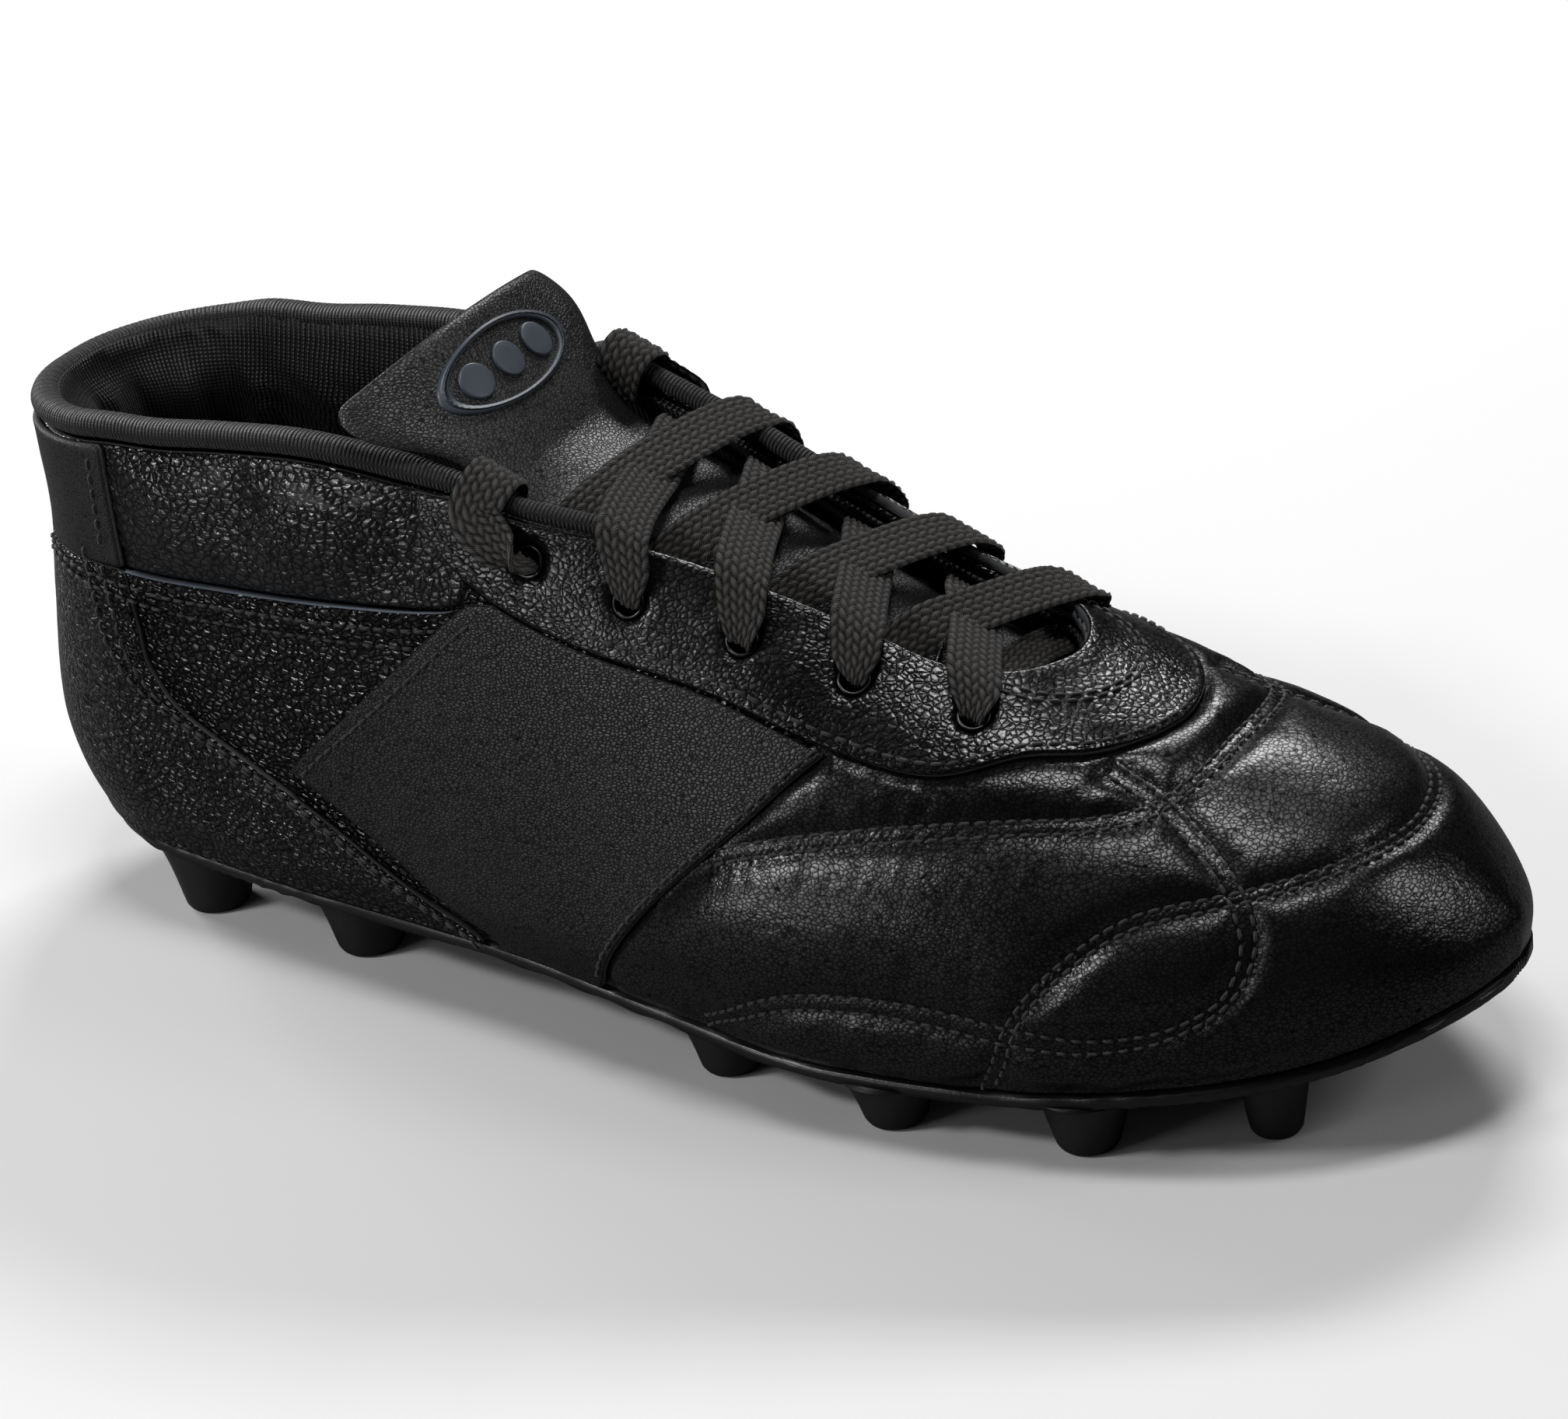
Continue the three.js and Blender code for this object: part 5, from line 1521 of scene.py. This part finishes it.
def make_lace():
    """A flat braided lace: columns of slanted plaits across its width."""
    path = lace_path()
    keys = np.array([p for p, _ in path])
    fine = through(keys, LACE_STEP)
    key_at = np.array([np.argmin(((fine - p) ** 2).sum(-1)) for p in keys])
    for i in range(1, len(key_at)):
        key_at[i] = max(key_at[i], key_at[i - 1] + 1)
    index = np.arange(len(fine))
    width = np.interp(index, key_at, [w for _, w in path]) * LACE_W
    along = unit(np.gradient(fine, axis=0))
    across = unit(FORE - along * (FORE * along).sum(1, keepdims=True))
    up = np.cross(along, across)
    t = np.linspace(-1, 1, COLUMNS)
    s = index * LACE_STEP
    cell = (t * 0.5 + 0.5) * PLAITS
    column = np.clip(np.floor(cell), 0, PLAITS - 1)
    across_cell = np.sin(math.pi * (cell - column))
    slant = np.where(column % 2 == 0, 1.0, -1.0) * (cell - column - 0.5) * 1.2
    beat = np.abs(np.sin(math.pi * ((s[:, None] + slant[None]) / BEAT + (column[None] % 2) * 0.5)))
    relief = (0.25 + 0.75 * beat) * (0.35 + 0.65 * across_cell[None])
    rise = 0.7 * relief - 0.5
    thick = LACE_T / 2 * np.sqrt(np.clip(1 - 0.86 * t**8, 0, 1))
    cup = 1.1 * (t**2)[None] * (1 - width / LACE_W)[:, None]
    top = fine[:, None] + across[:, None] * (t[None] * width[:, None] / 2)[..., None]
    high = top + up[:, None] * (thick[None] + rise - cup)[..., None]
    low = top - up[:, None] * (thick[None] + rise + cup)[..., None]
    rings = np.concatenate([high, low[:, ::-1]], axis=1)
    v = np.concatenate([t, t[::-1]]) * LACE_W / 2
    uv = np.stack(np.broadcast_arrays(s[:, None], v[None]), -1).reshape(-1, 2)
    obj = swept("lace_braided", rings, LACE, uv)
    # relief also sets the lace's painted shade and painted highlight in its material.
    mark(obj, "relief", np.concatenate([relief, relief[:, ::-1]], axis=1).ravel())
    finished(obj, "boot", "lace", "lace")


EYELET_PROFILE = [
    (2.3, -3.1),
    (2.55, -3.1),
    (2.55, 1.4),
    (2.8, 1.5),
    (2.95, 1.62),
    (2.8, 1.78),
    (2.5, 1.82),
    (2.3, 1.6),
]


def make_eyelets():
    """Thin metal rims set in the lace holes."""
    for side, name in SIDES.items():
        for k in range(len(HOLE_X)):
            centre = hole_at(k, side)
            out = normal(to_pattern(centre))
            rings = revolved(centre, out, square_to(out, (1, 0, 0)), EYELET_PROFILE, 40)
            rim = swept(f"eyelet_rim_{name}_{k + 1}", rings, METAL, closed=True)
            finished(rim, "boot", "eyelet_metal", f"eyelet_{name}_{k + 1}")


# ---------- sole ----------
def slimmer(x):
    return TOE_STUD if x > 250 else 1.0


def no_relief(plan, gap):
    return 0.0


def sole_slab(name, inset, low, high, material, counts, round_to=1.2, bottom=no_relief, crown=no_relief):
    """A slab that follows the sole's curve, with a rounded rim. bottom and crown add relief to its faces."""
    steps, across = counts
    u = 0.5 - 0.5 * np.cos(np.linspace(0.035, math.pi - 0.035, steps))
    outer, inner = footprint(u, -1, inset), footprint(u, 1, inset)
    t = np.linspace(-1, 1, across)
    t = np.sign(t) * (1 - (1 - np.abs(t)) ** 1.35)
    plan = outer[:, None] * ((1 - t) / 2)[None, :, None] + inner[:, None] * ((1 + t) / 2)[None, :, None]
    rim = np.concatenate([outer, inner[::-1]])
    gap = distance(plan.reshape(-1, 3), resample(rim, 1.0, closed=True)).reshape(steps, across)
    edge = 1 - np.sqrt(1 - (1 - np.clip(gap / round_to, 0, 1)) ** 2)
    half = (high - low) / 2
    top, under = plan.copy(), plan.copy()
    top[..., 2] += high - half * 0.9 * edge
    top[..., 2] += crown(plan, gap)
    under[..., 2] += low + half * 0.9 * edge
    under[..., 2] -= bottom(plan, gap)
    points = np.vstack([top.reshape(-1, 3), under.reshape(-1, 3)])
    sheet, walls = two_faced(grid_faces(steps, across), steps * across)
    return outward(make(name, points, sheet + walls, [material]))


def plate_relief(plan, gap):
    """Raised pads round the studs, a shank rib under the arch and cross bars under the ball of the foot."""
    x, y = plan[..., 0], plan[..., 1]
    relief = np.zeros(x.shape)
    for cx, cy in STUDS.values():
        r = PAD_R * slimmer(cx)
        d = np.hypot(x - cx, y - cy)
        relief = np.maximum(relief, PAD_T * (1 - smooth(d, r - 1.6, r + 0.6)))
    middle = centre_y(x)
    arch = smooth(x, 72, 88) * (1 - smooth(x, 142, 158))
    for offset_y in (-11, 0, 11):
        relief = np.maximum(relief, 1.5 * arch * (1 - smooth(np.abs(y - middle - offset_y), 2.2, 4.2)))
    ball = smooth(x, 160, 168) * (1 - smooth(x, 262, 270))
    bars = (1 - smooth(np.abs((x % 12) - 6), 1.4, 2.6)) * (1 - smooth(np.abs(y - middle), 14, 17))
    heel = smooth(x, 20, 26) * (1 - smooth(x, 80, 86))
    relief = np.maximum(relief, 0.7 * np.maximum(ball, heel) * bars)
    return relief * smooth(gap, 1.5, 4.0)


def make_stud(name, x, y):
    """A conical moulded stud with a flared root and a rounded tip."""
    k = slimmer(x) * (HEEL_STUD if x < 100 else 1.0)
    root = float(feather_z(x)) - GAP - PLATE + 0.4
    tip_r, root_r = STUD_TIP_R * k, STUD_ROOT_R * k
    profile = [(0.02, 0.0), (tip_r * 0.55, 0.0)]
    profile += [(tip_r - 1.3, 0.06), (tip_r - 0.5, 0.38), (tip_r - 0.05, 1.1)]
    for t in np.linspace(0.12, 1, 12):
        waist = tip_r + (root_r - tip_r) * (0.75 * t + 0.25 * t**3.2)
        profile.append((waist, 1.1 + (root - 1.1) * t))
    profile += [(root_r + 0.9 * k, root + 0.55), (0.02, root + 0.6)]
    across, aside, up = np.eye(3)
    rings = revolved(np.array([x, y, 0.0]), up, (across, aside), profile, 48)
    finished(swept(f"{name}_moulded", rings, STUD), "boot", "stud", name)


def make_sole():
    low = -GAP - PLATE
    plate = sole_slab("outsole_plate_moulded", -0.4, low, -0.1, PLASTIC, (210, 72), 2.2, bottom=plate_relief)
    finished(plate, "boot", "plate", "outsole_plate")
    for name, (x, y) in STUDS.items():
        make_stud(name, x, y)
    board = sole_slab("lasting_board_sheet", 5.5, 0, 1.6, BOARD, (60, 18))
    finished(board, "boot", "board", "lasting_board")
    cup = lambda plan, gap: 1.6 * (1 - smooth(gap, 0, 9)) * (1 - smooth(plan[..., 0], 70, 120))
    insole = sole_slab("insole_pad", 7, 1.9, 5.9, INSOLE, (110, 36), 1.6, crown=cup)
    finished(insole, "footbed", "lining_textile", "insole")


def make_stiffeners():
    """The hidden heel counter and toe puff between leather and lining."""
    def heel(side):
        line = [(12, 61.4), (30, 58.4), (46, 53.5), (60, 47.6), (66, 44.6), (74, 30)]
        sole = sole_line(side, SOLE_ENDS[0], 74, 1.2)[::-1]
        return np.vstack([back_point(62.0), on_line(side, line), sole])

    def toe(side):
        line = tops([(255, 5 + side * 16), (251, 5 + side * 30)])
        return np.vstack([tops([(256, 5)]), line, sole_line(side, 247, LENGTH - 0.4, 1.2)])

    low = lambda uv: -LEATHER - GAP - fill_at(uv)
    high = flat_at(-LEATHER - GAP)
    for node, half in (("heel_stiffener", heel), ("toe_puff", toe)):
        shell = panel(f"{node}_shell", both_sides(half), low, high, [STIFF], spacing=4.0, roll=0.2)
        finished(shell, "boot", "stiffener", node)


# ---------- stage ----------
CAMERA = np.array([596.9, -659.8, 464.7])
CAMERA_BACK = (0.4938, -0.7384, 0.4593)
CAMERA_RIGHT = (0.8552, 0.5081, -0.1027)
CAMERA_UP = (-0.1575, 0.4434, 0.8824)
SENSOR, LENS = 36.0, 115.6
FLOOR, FLOOR_MIRRORED = (0.82, 0.82, 0.82), (0.1, 0.1, 0.105)  # the floor looks darker in reflections
SKY, SKY_MIRRORED = 0.75, 0.035
FLOOR_HALF = 6.0

# Softboxes: direction from the middle of the boot, distance, width, power, height as a share of the width.
SOFTBOXES = {
    "back_softbox": ((-0.2, 0.74, 0.75), 1.2, 0.5, 8, 0.4),
    "left_softbox": ((-0.55, -0.62, 0.62), 1.2, 0.24, 4.5, 0.45),
    "side_softbox": ((-0.5, -0.85, 0.2), 1.2, 0.4, 1.8, 0.25),
    "top_softbox": ((0.1, -0.1, 1.0), 1.3, 0.45, 6, 0.5),
    "heel_softbox": ((-0.85, 0.2, 0.3), 1.2, 0.5, 5, 0.4),
    "toe_softbox": ((0.85, 0.25, 0.6), 1.2, 0.3, 2, 0.8),
}


def make_floor():
    mesh = bpy.data.meshes.new("floor")
    corners = [(x * FLOOR_HALF, y * FLOOR_HALF, 0) for x, y in ((-1, -1), (1, -1), (1, 1), (-1, 1))]
    mesh.from_pydata(corners, [], [(0, 1, 2, 3)])
    pale = Nodes("pale_floor", FLOOR, 0.6)
    path = pale.add("ShaderNodeLightPath")
    pale.set(Base_Color=pale.blend(path.outputs["Is Glossy Ray"], FLOOR, FLOOR_MIRRORED))
    mesh.materials.append(pale.material)
    linked("floor", mesh)


def make_world():
    world = bpy.data.worlds.new("studio")
    world.use_nodes = True
    tree = world.node_tree
    path = tree.nodes.new("ShaderNodeLightPath")
    fit = tree.nodes.new("ShaderNodeMapRange")
    fit.inputs["To Min"].default_value = SKY
    fit.inputs["To Max"].default_value = SKY_MIRRORED
    tree.links.new(path.outputs["Is Glossy Ray"], fit.inputs["Value"])
    tree.links.new(fit.outputs["Result"], tree.nodes["Background"].inputs["Strength"])
    bpy.context.scene.world = world
    bpy.context.scene.view_settings.view_transform = "Standard"


def make_light(name, direction, away, size, power, ratio):
    """A softbox in a direction from the middle of the boot, facing it."""
    data = bpy.data.lights.new(name, "AREA")
    data.shape = "RECTANGLE"
    data.size, data.size_y = size, size * ratio
    data.energy = power
    obj = linked(name, data)
    obj.location = Vector(direction).normalized() * away + Vector((0.02, 0, 0.05))
    obj.rotation_euler = Vector(direction).to_track_quat("Z", "Y").to_euler()


def make_camera():
    data = bpy.data.cameras.new("camera")
    data.sensor_width, data.sensor_fit, data.lens = SENSOR, "HORIZONTAL", LENS
    data.clip_start = 0.01
    camera = linked("camera", data)
    turn = Matrix((CAMERA_RIGHT, CAMERA_UP, CAMERA_BACK)).transposed().to_4x4()
    camera.matrix_world = Matrix.Translation(Vector((CAMERA + HEEL) * MM)) @ turn
    bpy.context.scene.camera = camera


def make_stage():
    make_floor()
    make_world()
    for name, settings in SOFTBOXES.items():
        make_light(name, *settings)
    make_camera()


simulate()
make_upper()
make_lining()
stitch_upper()
make_binding()
make_tongue()
make_badge()
make_lace()
make_eyelets()
make_sole()
make_stiffeners()
make_stage()
